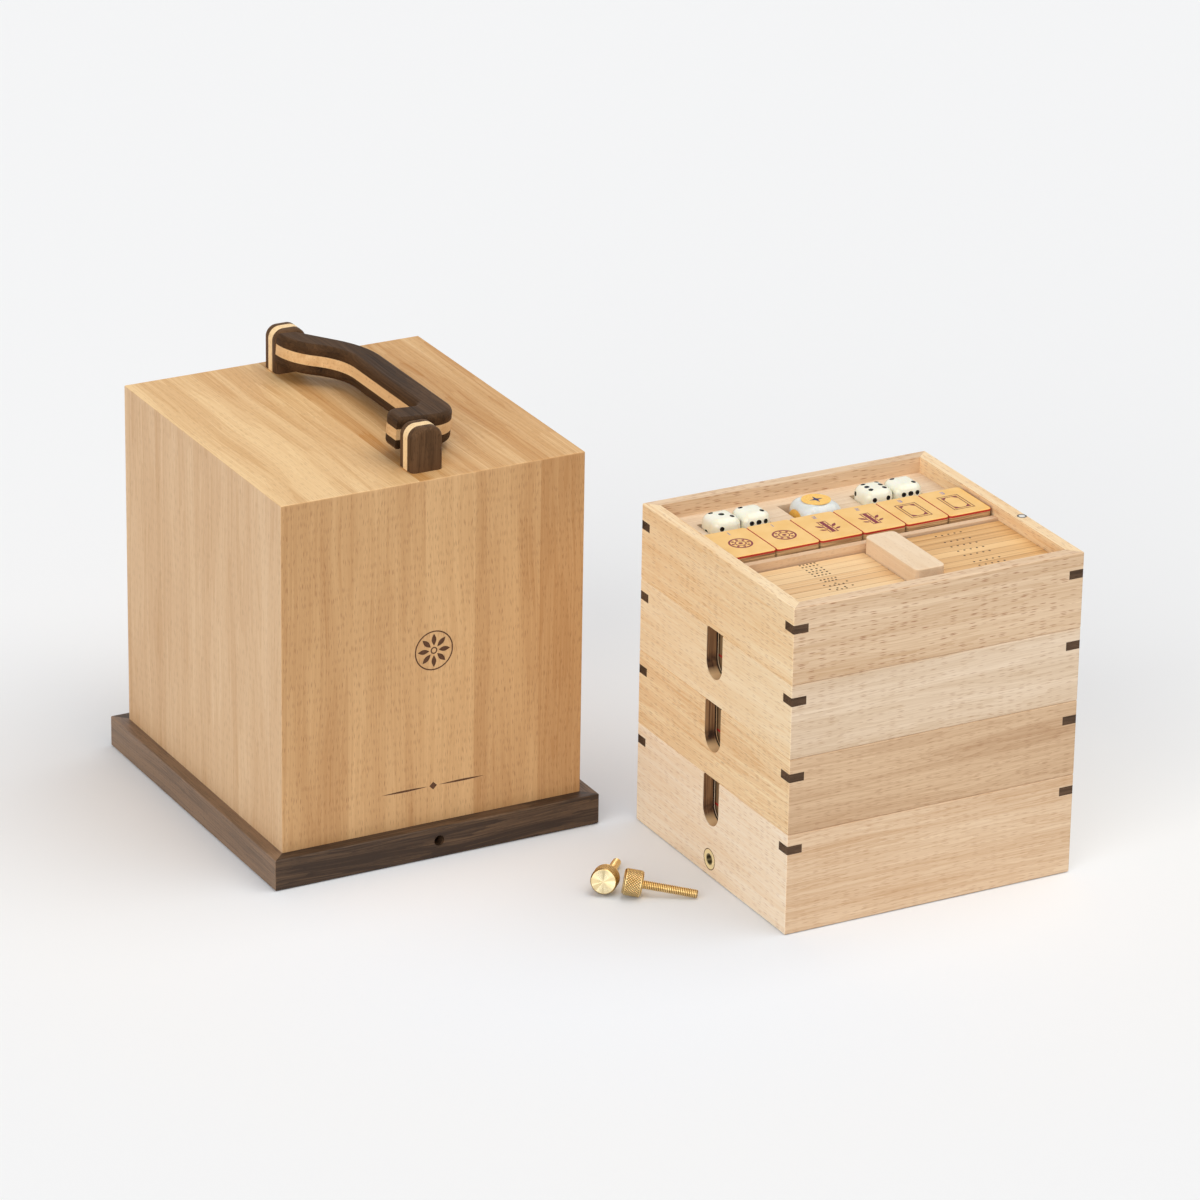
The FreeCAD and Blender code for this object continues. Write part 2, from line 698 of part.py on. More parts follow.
def build_trays():
    raised = "bottom_floor_level"
    bottom = build_tray("bottom_tray", "0", "bottom_height", "bottom_key_drop", raised)
    inserts, blocks = [], []
    for side, face_x, block_left in (("left", "tray_left", "inner_left"),
                                     ("right", "tray_right", "(inner_right - block_thickness)")):
        insert, drills = build_insert(side, face_x)
        inserts.append(insert)
        wall = f"bottom_tray_{side}_wall"
        keep(wall, cut(f"{wall}_bored", bottom[side], *drills))
        block = box(f"{side}_insert_block_blank", ("block_thickness", "block_width", raised),
                    (block_left, "tray_middle - block_width / 2", "0"))
        relief = cylinder(f"{side}_block_relief", "relief_radius", "block_thickness",
                          (block_left, "tray_middle", "screw_level"), pitch="90")
        blocks.append(cut(f"{side}_insert_block", block, drills[0], relief))
    keep("threaded_inserts", group("threaded_inserts", inserts))
    keep("insert_blocks", group("insert_blocks", blocks))

    for name, level, height, drop in (("middle_tray", "middle_level", "middle_height", "middle_key_drop"),
                                      ("upper_tray", "upper_level", "upper_height", "upper_key_drop")):
        sides = build_tray(name, level, height, drop, level)
        for side, wall in sides.items():
            keep(f"{name}_{side}_wall", wall)

    top = build_tray("top_tray", "top_level", "top_height", "top_key_drop", "top_level", notched=False)
    keep("top_tray_left_wall", top["left"])
    stud_at = ("tray_right - stud_inset", "tray_front + stud_back", "rim_level - stud_length")
    stud = cylinder("rim_stud", "stud_radius", "stud_length", stud_at)
    keep("rim_stud", stud)
    keep("top_tray_right_wall", cut("top_tray_right_wall_bored", top["right"], stud))


# ---- what the trays hold -------------------------------------------------------------------



def build_packed_tiles(name, floor_top):
    """The tiles that fill one of the lower trays, in layers."""
    body = padded(name, rectangle("tile_width", "tile_length"), "tile_thickness")
    rounded(body, "tile_corner", upright)
    patterned(body, "tile_columns", "tile_pitch_x", "tile_rows", "tile_pitch_y",
              "tile_layers", "tile_pitch_z")
    keep(name, place(body, "tile_start_x", "tray_middle - tile_rows_depth / 2", floor_top))


def build_spare_tiles():
    body = padded("spare_tiles", rectangle("tile_width", "tile_length"), "tile_thickness")
    rounded(body, "tile_corner", upright)
    rounded(body, "tile_edge", lambda middle, along: abs(along.z) < 0.01)
    patterned(body, "tile_columns", "tile_pitch_x", None, None, None, None)
    keep("spare_tiles", place(body, "tile_start_x", "channel_front + (tile_channel - tile_length) / 2",
                              "tile_bed_top"))


def build_die(name, side, radius, at):
    body = padded(name, rectangle(side, side), side)
    return place(rounded(body, radius, lambda middle, along: True), *at)


def build_dice_block():
    """The block behind the tiles, with a pocket for each pair of dice and one for the wind die."""
    blank = box("dice_block_blank", ("inner_width", "dice_block_depth", "block_top - tray_bed"),
                ("inner_left", "block_front", "tray_bed"))
    pocket_y = "(inner_back - pocket_back - pocket_length)"
    pocket_z = "(block_top - pocket_depth)"
    pocket_lefts = {"left": "(inner_left + pocket_inset)",
                    "right": "(inner_right - pocket_inset - pocket_width)"}
    pockets = []
    for side, pocket_left in pocket_lefts.items():
        pockets.append(box(f"{side}_dice_pocket", ("pocket_width", "pocket_length", "2 * pocket_depth"),
                           (pocket_left, pocket_y, pocket_z)))
        dice = []
        for place_in_row in (0, 1):
            x = f"{pocket_left} + die_play + {place_in_row} * (die_size + die_play)"
            y = f"{pocket_y} + (pocket_length - die_size) / 2"
            die_name = f"{side}_die_{place_in_row + 1}"
            dice.append(build_die(die_name, "die_size", "die_round", (x, y, pocket_z)))
        keep(f"{side}_dice", group(f"{side}_dice", dice))
    wind_left = "(inner_left + inner_width / 2 - wind_pocket_side / 2)"
    wind_front = "(inner_back - wind_pocket_back - wind_pocket_side)"
    wind_floor = "(block_top - wind_pocket_depth)"
    pockets.append(box("wind_die_pocket", ("wind_pocket_side", "wind_pocket_side", "2 * wind_pocket_depth"),
                       (wind_left, wind_front, wind_floor)))
    play = "(wind_pocket_side - wind_die_size) / 2"
    keep("wind_die", build_die("wind_die", "wind_die_size", "wind_die_round",
                               (f"{wind_left} + {play} + wind_die_shift_x",
                                f"{wind_front} + {play} + wind_die_shift_y", wind_floor)))
    keep("dice_block", cut("dice_block", blank, *pockets))


def build_beds_and_rail():
    """The rail behind the sticks, the boards that pack up the tiles and the sticks, and the divider."""
    rail_size = ("inner_width", "rail_thickness", "rim_level - rail_drop - tray_bed")
    keep("stick_rail", box("stick_rail", rail_size, ("inner_left", "rail_front", "tray_bed")))
    tile_bed_size = ("inner_width", "tile_channel", "tile_bed_top - tray_bed")
    tile_bed = box("tile_bed", tile_bed_size, ("inner_left", "channel_front", "tray_bed"))
    stick_bed_size = ("inner_width", "rail_front - inner_front", "stick_bed_top - tray_bed")
    stick_bed = box("stick_bed", stick_bed_size, ("inner_left", "inner_front", "tray_bed"))
    keep("packing_boards", group("packing_boards", [tile_bed, stick_bed]))
    divider = padded("divider_block", rectangle("divider_width", "divider_length"),
                     "rim_level - divider_drop - stick_bed_top")
    rounded(divider, "divider_corner", upright)
    rounded(divider, "tile_edge", lambda middle, along: abs(along.z) < 0.01 and middle.z > 1)
    divider_front = "rail_front - divider_play - divider_length"
    keep("divider_block", place(divider, "divider_left", divider_front, "stick_bed_top"))


def build_sticks(name, left, layers):
    """Counting sticks in a bundle, each a separate square-edged stick."""
    body = padded(name, rectangle("stick_length", "stick_width"), "stick_thickness")
    patterned(body, None, None, "stick_columns", "stick_pitch", layers, "stick_rise")
    keep(name, place(body, left, "inner_front + stick_play", "stick_bed_top"))


def build_contents():
    build_packed_tiles("bottom_tray_tiles", "bottom_floor_level + floor_thickness")
    build_packed_tiles("middle_tray_tiles", "middle_level + floor_thickness")
    build_packed_tiles("upper_tray_tiles", "upper_level + floor_thickness")
    build_spare_tiles()
    build_dice_block()
    build_beds_and_rail()
    build_sticks("left_sticks", "divider_left - stick_bay", "left_stick_layers")
    build_sticks("right_sticks", "divider_right + stick_play", "right_stick_layers")


# ---- the thumbscrews -----------------------------------------------------------------------

def build_thumbscrew(name, away, back, heading):
    """A turned brass screw with its axis along local +X, lying on the rim of its head and its tip."""
    length = "(head_length + shank_length)"
    body = doc.addObject("PartDesign::Body", name)
    profile = outline(body, f"{name}_profile", [
        ("0", "0"), (length, "0"),
        (length, "shank_radius - tip_chamfer"), (f"{length} - tip_chamfer", "shank_radius"),
        ("head_length", "shank_radius"), ("head_length", "head_radius - head_chamfer"),
        ("head_length - head_chamfer", "head_radius"), ("head_chamfer", "head_radius"),
        ("0", "head_radius - head_chamfer"),
    ])
    turned = body.newObject("PartDesign::Revolution", f"{name}_turned")
    turned.Profile = profile
    turned.ReferenceAxis = (origin_feature(body, "X_Axis"), [""])
    turned.Angle = 360
    head_contact = "(head_length - head_chamfer)"
    tilt = f"atan((head_radius - shank_radius) / ({length} - tip_chamfer - {head_contact}))"
    height = f"({head_contact} * sin({tilt}) + head_radius * cos({tilt}))"
    place(body, f"tray_left - {away}", f"tray_front + {back}", height, yaw=heading, pitch=tilt)
    keep(name, body)


# ---- build, check and write ----------------------------------------------------------------

post_screws = build_hood()
front_pin = build_post("front", "front_post_front", "front_arm_clearance", "front_pin_start", post_screws)
back_pin = build_post("back", "back_post_front", "back_arm_clearance", "back_pin_start", post_screws)
build_grip([front_pin, back_pin])
build_trays()
build_contents()
build_thumbscrew("left_thumbscrew", "left_screw_away", "left_screw_back", "left_screw_heading")
build_thumbscrew("right_thumbscrew", "right_screw_away", "right_screw_back", "right_screw_heading")
doc.recompute()

failed = [item.Name for item in doc.Objects if "Invalid" in item.State or "Error" in item.State]
for node, thing in parts.items():
    shape = thing.Shape
    if shape.isNull() or not shape.isValid() or not shape.Solids:
        failed.append(node)
if failed:
    raise RuntimeError("not built: " + ", ".join(failed))

os.makedirs("parts", exist_ok=True)
for node, thing in parts.items():
    thing.Shape.exportStep(f"parts/{node}.step")
print(len(parts), "nodes written")
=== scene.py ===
import math

import bmesh
import bpy
from mathutils import Matrix, Vector


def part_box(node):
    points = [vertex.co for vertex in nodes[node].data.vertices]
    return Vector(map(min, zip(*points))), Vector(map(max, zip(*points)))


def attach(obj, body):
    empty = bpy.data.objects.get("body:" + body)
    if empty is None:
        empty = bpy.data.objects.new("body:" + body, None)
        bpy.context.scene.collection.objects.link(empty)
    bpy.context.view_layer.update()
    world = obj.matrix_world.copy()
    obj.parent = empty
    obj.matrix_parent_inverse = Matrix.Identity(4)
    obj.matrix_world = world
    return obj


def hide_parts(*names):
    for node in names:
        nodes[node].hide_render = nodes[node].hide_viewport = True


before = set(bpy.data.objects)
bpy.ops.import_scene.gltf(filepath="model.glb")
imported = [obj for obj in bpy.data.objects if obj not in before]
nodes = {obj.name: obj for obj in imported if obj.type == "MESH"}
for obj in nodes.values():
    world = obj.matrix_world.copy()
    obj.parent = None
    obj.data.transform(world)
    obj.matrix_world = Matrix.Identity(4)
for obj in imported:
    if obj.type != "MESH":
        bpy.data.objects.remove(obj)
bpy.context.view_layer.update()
mm = 0.001
print("frame loaded:", len(nodes), "nodes")


# objects and shader nodes

def addObject(name, data):
    made = bpy.data.objects.new(name, data)
    bpy.context.scene.collection.objects.link(made)
    return made


# Adds one shader node: a socket in the dictionary is linked, a plain value is set.
def wire(tree, kind, sockets, **settings):
    made = tree.nodes.new("ShaderNode" + kind)
    for name, value in settings.items():
        setattr(made, name, value)
    for socket, value in sockets.items():
        if isinstance(value, bpy.types.NodeSocket):
            tree.links.new(value, made.inputs[socket])
        else:
            made.inputs[socket].default_value = value
    return made


def startMaterial(name):
    material = bpy.data.materials.new(name)
    material.use_nodes = True
    tree = material.node_tree
    tree.nodes.clear()
    return material, tree


# Gives the material its shader and hands it back.
def finished(material, tree, sockets):
    shader = wire(tree, "BsdfPrincipled", sockets)
    wire(tree, "OutputMaterial", {"Surface": shader.outputs[0]})
    return material


def reckon(tree, operation, a, b=0.0, clamp=False):
    return wire(tree, "Math", {0: a, 1: b}, operation=operation, use_clamp=clamp).outputs[0]


# Value runs from low to high, the result from toLow to toHigh.
def fade(tree, value, low, high, toLow=0.0, toHigh=1.0):
    return wire(tree, "MapRange", {"Value": value, "From Min": low, "From Max": high, "To Min": toLow,
                                   "To Max": toHigh}).outputs[0]


def blend(tree, factor, first, second):
    return wire(tree, "Mix", {0: factor, 6: first, 7: second}, data_type="RGBA").outputs[2]


# How far apart two values are.
def apart(tree, a, b):
    return reckon(tree, "ABSOLUTE", reckon(tree, "SUBTRACT", a, b))


# camera, lamps and floor

view = {"cameraAt": (-1.8173, -3.3487, 1.7467), "aimAt": (0.1827, 0.3120, 0.0),
        "tilt": math.radians(0.973), "lens": 186.55, "sensor": 36.0, "farthest": 60}
studio = {"room": 0.37, "roomTint": (0.93, 0.975, 1.07, 1), "lampTint": (1.043, 1.015, 0.957),
          "backdrop": 0.921,
          # floor as the camera sees it, and as it lights things
          "floorSeen": (0.909, 0.915, 0.923, 1), "floorBounce": (0.74, 0.74, 0.74, 1),
          # bluer paper near the pieces evens out the warm light that the wood throws on it
          "floorNear": (0.874, 0.915, 0.972, 1), "nearMiddle": (-0.02, -0.12, 0.0), "nearReach": (0.40, 0.08),
          "overhead": {"strength": 1.56, "from": (0.34, -0.22, 0.91), "width": 60},
          "side": {"strength": 1.45, "from": (-0.76, -0.52, 0.38), "width": 50},
          "floorReach": 15.0, "floorDrop": 0.0004}


def setCamera():
    data = bpy.data.cameras.new("camera")
    data.lens = view["lens"]
    data.sensor_width = view["sensor"]
    data.clip_end = view["farthest"]
    camera = addObject("camera", data)
    looking = Vector(view["aimAt"]) - Vector(view["cameraAt"])
    turn = looking.to_track_quat("-Z", "Y").to_matrix() @ Matrix.Rotation(view["tilt"], 3, "Z")
    camera.location = view["cameraAt"]
    camera.rotation_euler = turn.to_euler()
    bpy.context.scene.camera = camera


# 1 for camera, glossy and glass rays, 0 for light that bounces on.
def seenDirectly(tree):
    path = wire(tree, "LightPath", {}).outputs
    either = reckon(tree, "MAXIMUM", path["Is Camera Ray"], path["Is Glossy Ray"])
    return reckon(tree, "MAXIMUM", either, path["Is Transmission Ray"])


def addSun(name, lamp):
    sun = bpy.data.lights.new(name, "SUN")
    sun.energy = lamp["strength"]
    sun.angle = math.radians(lamp["width"])
    sun.color = studio["lampTint"]
    holder = addObject(name, sun)
    holder.rotation_euler = Vector(lamp["from"]).to_track_quat("Z", "Y").to_euler()


def setStudio():
    scene = bpy.context.scene
    scene.view_settings.view_transform = "Standard"
    world = bpy.data.worlds.new("room")
    world.use_nodes = True
    scene.world = world
    tree = world.node_tree
    tree.nodes.clear()
    room = wire(tree, "Background", {"Color": studio["roomTint"], "Strength": studio["room"]})
    backdrop = wire(tree, "Background", {"Color": (1, 1, 1, 1), "Strength": studio["backdrop"]})
    mixed = wire(tree, "MixShader", {0: seenDirectly(tree), 1: room.outputs[0], 2: backdrop.outputs[0]})
    wire(tree, "OutputWorld", {"Surface": mixed.outputs[0]})
    for name in ("overhead", "side"):
        addSun(name, studio[name])

    reach = studio["floorReach"]
    mesh = bpy.data.meshes.new("floor")
    mesh.from_pydata([(-reach, -reach, 0), (reach, -reach, 0), (reach, reach, 0), (-reach, reach, 0)], [],
                     [(0, 1, 2, 3)])
    floor = addObject("floor", mesh)
    floor.location.z = -studio["floorDrop"]
    paper, tree = startMaterial("floor_paper")
    place = wire(tree, "TexCoord", {}).outputs["Object"]
    away = wire(tree, "VectorMath", {0: place, 1: studio["nearMiddle"]},
                operation="DISTANCE").outputs["Value"]
    near = wire(tree, "MapRange", {"Value": away, "From Min": studio["nearReach"][0],
                                   "From Max": studio["nearReach"][1]}, interpolation_type="SMOOTHSTEP")
    seen = blend(tree, near.outputs[0], studio["floorSeen"], studio["floorNear"])
    tone = blend(tree, seenDirectly(tree), studio["floorBounce"], seen)
    diffuse = wire(tree, "BsdfDiffuse", {"Color": tone})
    wire(tree, "OutputMaterial", {"Surface": diffuse.outputs[0]})
    mesh.materials.append(paper)


setCamera()
setStudio()
print("camera, lamps and floor set")


# colours, and the wood that most pieces share

# A colour written as 0 to 255 a channel, as Blender wants it.
def paint(red, green, blue):
    shares = [channel / 255 for channel in (red, green, blue)]
    linear = [share / 12.92 if share <= 0.04 else ((share + 0.055) / 1.055) ** 2.4 for share in shares]
    return (*linear, 1.0)


axes = {"X": 0, "Y": 1, "Z": 2}


# The place on the piece along X, Y and Z, in millimetres.
def millimetres(tree):
    place = wire(tree, "TexCoord", {}).outputs["Object"]
    scaled = wire(tree, "VectorMath", {0: place, "Scale": 1000.0}, operation="SCALE").outputs[0]
    return wire(tree, "SeparateXYZ", {0: scaled}).outputs


# Coordinates divided by the lengths along, across and through the grain.
def stretched(tree, along, across, depth, lengths):
    parts = [reckon(tree, "DIVIDE", value, length) for value, length in zip((along, across, depth), lengths)]
    return wire(tree, "CombineXYZ", {0: parts[0], 1: parts[1], 2: parts[2]}).outputs[0]


def noise(tree, vector, seed, detail=2.0, roughness=0.5, distortion=0.0):
    return wire(tree, "TexNoise", {"Vector": vector, "W": seed, "Scale": 1.0, "Detail": detail,
                                   "Roughness": roughness, "Distortion": distortion},
                noise_dimensions="4D").outputs["Fac"]


# Soft blotches of one size all ways.
def cloudy(tree, place, size, seed, detail=3.0):
    return noise(tree, stretched(tree, *place, (size, size, size)), seed, detail=detail)


def bumpOf(tree, height, strength, deep):
    return wire(tree, "Bump", {"Height": height, "Strength": strength, "Distance": deep}).outputs[0]


# Each glued-up board between the edges gets its own grey, used as its tone and its seed.
def boardTone(tree, across, edges):
    low, high = edges[0][0], edges[-1][0]
    ramp = wire(tree, "ValToRGB", {0: fade(tree, across, low, high)})
    ramp.color_ramp.interpolation = "CONSTANT"
    stops = ramp.color_ramp.elements
    stops.remove(stops[1])
    for edge, tone in edges[1:-1]:
        stops.new((edge - low) / (high - low)).color = (tone, tone, tone, 1)
    stops[0].color = (*[edges[0][1]] * 3, 1)
    return ramp.outputs[0]


woodDefaults = {"light": paint(226, 190, 148), "dark": paint(196, 150, 104), "pore": paint(150, 98, 58),
                "grain": "Z", "across": "X", "boards": None, "seed": 0.0,
                "figure": (240.0, 17.0, 36.0),     # broad growth bands: along, across, through
                "figurePull": 0.62, "figureBase": 0.45,
                "line": (150.0, 0.9, 5.0), "linePull": 0.15,
                "rings": 11.0, "ringPull": 0.20,   # growth lines that follow the bands
                "fleck": (4.2, 0.85, 1.6), "fleckPull": 0.42, "fleckSize": 0.17, "fleckShare": 0.6,
                "wander": 6.0,                     # how far the grain lines sway, mm
                "roughness": 0.52, "shine": 0.35, "bump": 0.10, "cuts": None}
# what every wood here has alike
grain = {"sway": (140.0, 60.0, 60.0), "seedStep": 37.0, "distortion": 0.35, "figureRange": (0.32, 0.68),
         "lineRange": (0.3, 0.7), "ringEnd": 0.55, "ringLift": 0.3, "fleckEdge": 2.4, "fleckFade": 0.12,
         "boardPull": 0.45, "glossBelow": 0.05, "glossAbove": 0.07, "lineHeight": 0.5, "deep": 0.0002}


def wood(name, **changes):
    look = {**woodDefaults, **changes}
    material, tree = startMaterial(name)
    place = millimetres(tree)
    along, across = place[axes[look["grain"]]], place[axes[look["across"]]]
    depth = place[3 - axes[look["grain"]] - axes[look["across"]]]
    tone = boardTone(tree, across, look["boards"]) if look["boards"] else None
    seed = look["seed"]
    if tone:
        seed = reckon(tree, "ADD", reckon(tree, "MULTIPLY", tone, grain["seedStep"]), seed)

    sway = noise(tree, stretched(tree, along, across, depth, grain["sway"]), seed, detail=1.0)
    swayed = reckon(tree, "ADD", across, fade(tree, sway, 0.0, 1.0, -look["wander"], look["wander"]))
    figure = noise(tree, stretched(tree, along, swayed, depth, look["figure"]), seed, detail=3.0,
                   roughness=0.55, distortion=grain["distortion"])
    lines = noise(tree, stretched(tree, along, swayed, depth, look["line"]), seed)
    level = reckon(tree, "FRACT", reckon(tree, "MULTIPLY", figure, look["rings"]))
    rings = fade(tree, level, 0.0, grain["ringEnd"], 1.0, 0.0)
    cells = wire(tree, "TexVoronoi", {"Vector": stretched(tree, along, swayed, depth, look["fleck"]),
                                      "Scale": 1.0, "Randomness": 1.0}, voronoi_dimensions="3D")
    size, share = look["fleckSize"], look["fleckShare"]
    nearness = fade(tree, cells.outputs["Distance"], size, size * grain["fleckEdge"], 1.0, 0.0)
    chosen = fade(tree, wire(tree, "SeparateColor", {0: cells.outputs["Color"]}).outputs[0],
                  share, share - grain["fleckFade"])
    flecks = reckon(tree, "MULTIPLY", nearness, chosen)

    pulls = [fade(tree, lines, *grain["lineRange"], -look["linePull"], look["linePull"]),
             reckon(tree, "MULTIPLY", rings, look["ringPull"]),
             look["figureBase"] - look["ringPull"] * grain["ringLift"]]
    if tone:
        pulls.append(fade(tree, tone, 0.0, 1.0, -grain["boardPull"], grain["boardPull"]))
    mixed = fade(tree, figure, *grain["figureRange"], -look["figurePull"] / 2, look["figurePull"] / 2)
    for pull in pulls:
        mixed = reckon(tree, "ADD", mixed, pull)
    mixed = reckon(tree, "MAXIMUM", mixed, 0.0, clamp=True)
    colour = blend(tree, mixed, look["light"], look["dark"])
    colour = blend(tree, reckon(tree, "MULTIPLY", flecks, look["fleckPull"]), colour, look["pore"])
    if look["cuts"]:
        colour = sawnNotch(tree, place, colour, look["cuts"])

    gloss = fade(tree, lines, *grain["lineRange"], look["roughness"] - grain["glossBelow"],
                 look["roughness"] + grain["glossAbove"])
    height = reckon(tree, "SUBTRACT", reckon(tree, "MULTIPLY", lines, grain["lineHeight"]), flecks)
    return finished(material, tree, {"Base Color": colour, "Roughness": gloss,
                                     "Normal": bumpOf(tree, height, look["bump"], grain["deep"]),
                                     "Specular IOR Level": look["shine"]})


# Brown end grain on the faces inside a finger notch: a burned spot low in it, a lighter band at its foot, and
# painted shade, a dark line deep in the wall where the imported tiles stand off it.
def sawnNotch(tree, place, colour, cuts):
    inward = reckon(tree, "SUBTRACT", cuts["reach"], apart(tree, place[0], cuts["centre"]))
    inWall = reckon(tree, "LESS_THAN", reckon(tree, "ABSOLUTE", inward), notch["inWall"])
    aside = apart(tree, place[1], cuts["middle"])
    within = reckon(tree, "LESS_THAN", aside, notch["wide"] / 2 + notch["beside"])
    below = reckon(tree, "LESS_THAN", place[2], cuts["top"] - notch["rim"])
    inside = reckon(tree, "MULTIPLY", reckon(tree, "MULTIPLY", inWall, within), below)
    streaks = noise(tree, stretched(tree, place[1], place[2], place[0], notch["streak"]), cuts["seed"],
                    detail=3.0)
    sawn = blend(tree, fade(tree, streaks, 0.35, 0.65), notch["sawn"], notch["sawnDark"])
    cloud = cloudy(tree, place, notch["patch"], cuts["seed"], detail=2.0)
    burnAt, paleAt = ([cuts["root"] + offset for offset in notch[key]] for key in ("burnAt", "paleAt"))
    burned = reckon(tree, "MULTIPLY", fade(tree, place[2], *burnAt), fade(tree, cloud, 0.35, 0.65, 0.25))
    sawn = blend(tree, burned, sawn, notch["burn"])
    sawn = blend(tree, fade(tree, place[2], *paleAt), sawn, notch["pale"])
    # painted shade: dark deep in the wall, where the tiles stand off it
    sawn = blend(tree, fade(tree, inward, *notch["gapShadeAt"]), sawn, notch["gap"])
    return blend(tree, inside, colour, sawn)


# Gives CAD nodes a material in place of their plain one.
def dress(material, *names):
    for name in names:
        slots = nodes[name].data.materials
        slots.clear()
        slots.append(material)


def inMillimetres(name):
    low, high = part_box(name)
    return low * 1000, high * 1000


# cover: five boards, skirt, posts and grip

# boards holds where the boards of a panel meet, from one side to the other, and how dark each is
cover = {"side": {"grain": "Z", "across": "Y", "light": paint(230, 195, 154), "dark": paint(204, 160, 114),
                  "fleckPull": 0.28, "fleck": (7.0, 0.7, 1.6),
                  "boards": [(-20, 0.34), (48, 0.48), (108, 0.38), (167, 0.56), (230, 0)]},
         "front": {"grain": "Z", "across": "X", "light": paint(222, 181, 131), "dark": paint(184, 135, 86),
                   "fleckPull": 0.55, "fleck": (6.2, 0.5, 1.2), "ringPull": 0.10, "figurePull": 0.52,
                   "boards": [(-235, 0.62), (-184, 0.42), (-128, 0.34), (-92, 0.54), (-44, 0.80), (-8, 0)]},
         "top": {"grain": "Y", "across": "X", "light": paint(240, 203, 150), "dark": paint(188, 130, 64),
                 "fleckPull": 0.26, "fleck": (8.0, 0.6, 1.4), "ringPull": 0.14,
                 "boards": [(-235, 0.30), (-178, 0.42), (-133, 0.78), (-60, 0.66), (-8, 0)]},
         "pore": paint(136, 84, 44),
         # each panel: its material, its look and its seed
         "panels": {"left": ("cover_side_left", "side", 1.0), "right": ("cover_side_right", "side", 7.0),
                    "front": ("cover_front", "front", 2.0), "back": ("cover_back", "front", 9.0),
                    "top": ("cover_top", "top", 3.0)}}


def dressCover():
    for panel, (name, look, seed) in cover["panels"].items():
        dress(wood(name, seed=seed, pore=cover["pore"], **cover[look]), f"hood_{panel}_panel")


walnut = {"light": paint(136, 106, 79), "dark": paint(54, 38, 26), "pore": paint(30, 21, 15),
          "figure": (130.0, 8.0, 8.0), "figurePull": 0.6, "line": (50.0, 0.6, 0.6), "linePull": 0.20,
          "fleck": (4.5, 0.5, 0.5), "fleckPull": 0.45, "fleckShare": 0.5, "roughness": 0.50, "bump": 0.14}
darkWalnut = dict(walnut, light=paint(90, 64, 41), dark=paint(32, 21, 13), shine=0.06)
gripBoards = dict(darkWalnut, grain="Y", across="X", seed=3.5, figureBase=0.45)
postCheeks = dict(darkWalnut, grain="Z", across="X", seed=5.5, figureBase=0.20, light=paint(104, 76, 52))
skirt = {"front": {"grain": "X", "seed": 1.5, "figureBase": 0.92},
         "back": {"grain": "X", "seed": 4.5, "figureBase": 0.86},
         "left": {"grain": "Y", "seed": 2.5, "figureBase": 0.22, "shine": 0.7},
         "right": {"grain": "Y", "seed": 6.5, "figureBase": 0.60}}


def dressWalnut():
    for side, look in skirt.items():
        dress(wood(f"skirt_{side}", **dict(walnut, across="Z", **look)), f"skirt_{side}_rail")
    dress(wood("grip_boards", **gripBoards), "grip_top_layer", "grip_bottom_layer")
    dress(wood("post_cheeks", **postCheeks), "front_post_cheeks", "back_post_cheeks")


handleBeech = {"across": "X", "light": paint(238, 200, 148), "dark": paint(208, 162, 108), "fleckPull": 0.3,
               "figure": (120.0, 6.0, 6.0)}
postCore = dict(handleBeech, grain="Z", seed=2.2, figureBase=0.05, light=paint(252, 218, 166))


def dressHandle():
    dress(wood("grip_beech", grain="Y", seed=1.2, **handleBeech), "grip_core_layer")
    dress(wood("post_beech", **postCore), "front_post_core", "back_post_core")


dressCover()
dressWalnut()
dressHandle()
print("cover, skirt and handle dressed")


# trays: each wall has its own board, with the grain running along it

notch = {"wide": 21.0, "deep": 34.0, "halfWall": 4.5, "inWall": 4.1, "beside": 0.2, "rim": 0.9,
         "streak": (24.0, 40.0, 0.9), "patch": 5.0,
         # above and below the middle of the round foot
         "burnAt": (5.0, -1.0), "paleAt": (-5.5, -9.5),
         "sawn": paint(174, 132, 92), "sawnDark": paint(104, 72, 48), "pale": paint(236, 198, 148),
         # gap is the colour of the painted shade in the notch, gapShadeAt how deep in the wall it starts and
         # where it is full
         "burn": paint(56, 36, 26), "gap": paint(40, 28, 20), "gapShadeAt": (2.6, 3.3)}
trays = {"bottom": {"side": (paint(253, 238, 216), paint(241, 213, 178)),
                    "front": (paint(238, 210, 177), paint(208, 168, 128)), "pore": paint(176, 122, 82),
                    "flecks": (0.42, 0.18, 0.55)},
         "middle": {"side": (paint(252, 228, 188), paint(224, 177, 122)),
                    "front": (paint(226, 194, 158), paint(190, 151, 114)), "pore": paint(150, 98, 62),
                    "flecks": (0.42, 0.18, 0.55)},
         "upper": {"side": (paint(253, 233, 199), paint(239, 206, 160)),
                   "front": (paint(242, 220, 194), paint(212, 183, 150)), "pore": paint(168, 120, 82),
                   "flecks": (0.48, 0.18, 0.50)},
         "top": {"side": (paint(253, 230, 192), paint(236, 195, 142)),
                 "front": (paint(238, 210, 177), paint(204, 166, 126)), "pore": paint(154, 90, 52),
                 "flecks": (0.74, 0.20, 0.36)}}
trayGrain = {"figure": (180.0, 9.0, 12.0), "figurePull": 0.6, "line": (110.0, 0.8, 1.2), "linePull": 0.22,
             "rings": 15.0, "ringPull": 0.30, "fleck": (7.5, 0.7, 0.75), "fleckPull": 0.40, "fleckSize": 0.18,
             "fleckShare": 0.55, "wander": 3.0, "roughness": 0.55}
firstWallSeed = 11.0
cornerKeys = dict(walnut, grain="X", across="Z", seed=8.5, figureBase=0.5, light=paint(108, 84, 65),
                  dark=paint(48, 35, 26), shine=0.10)
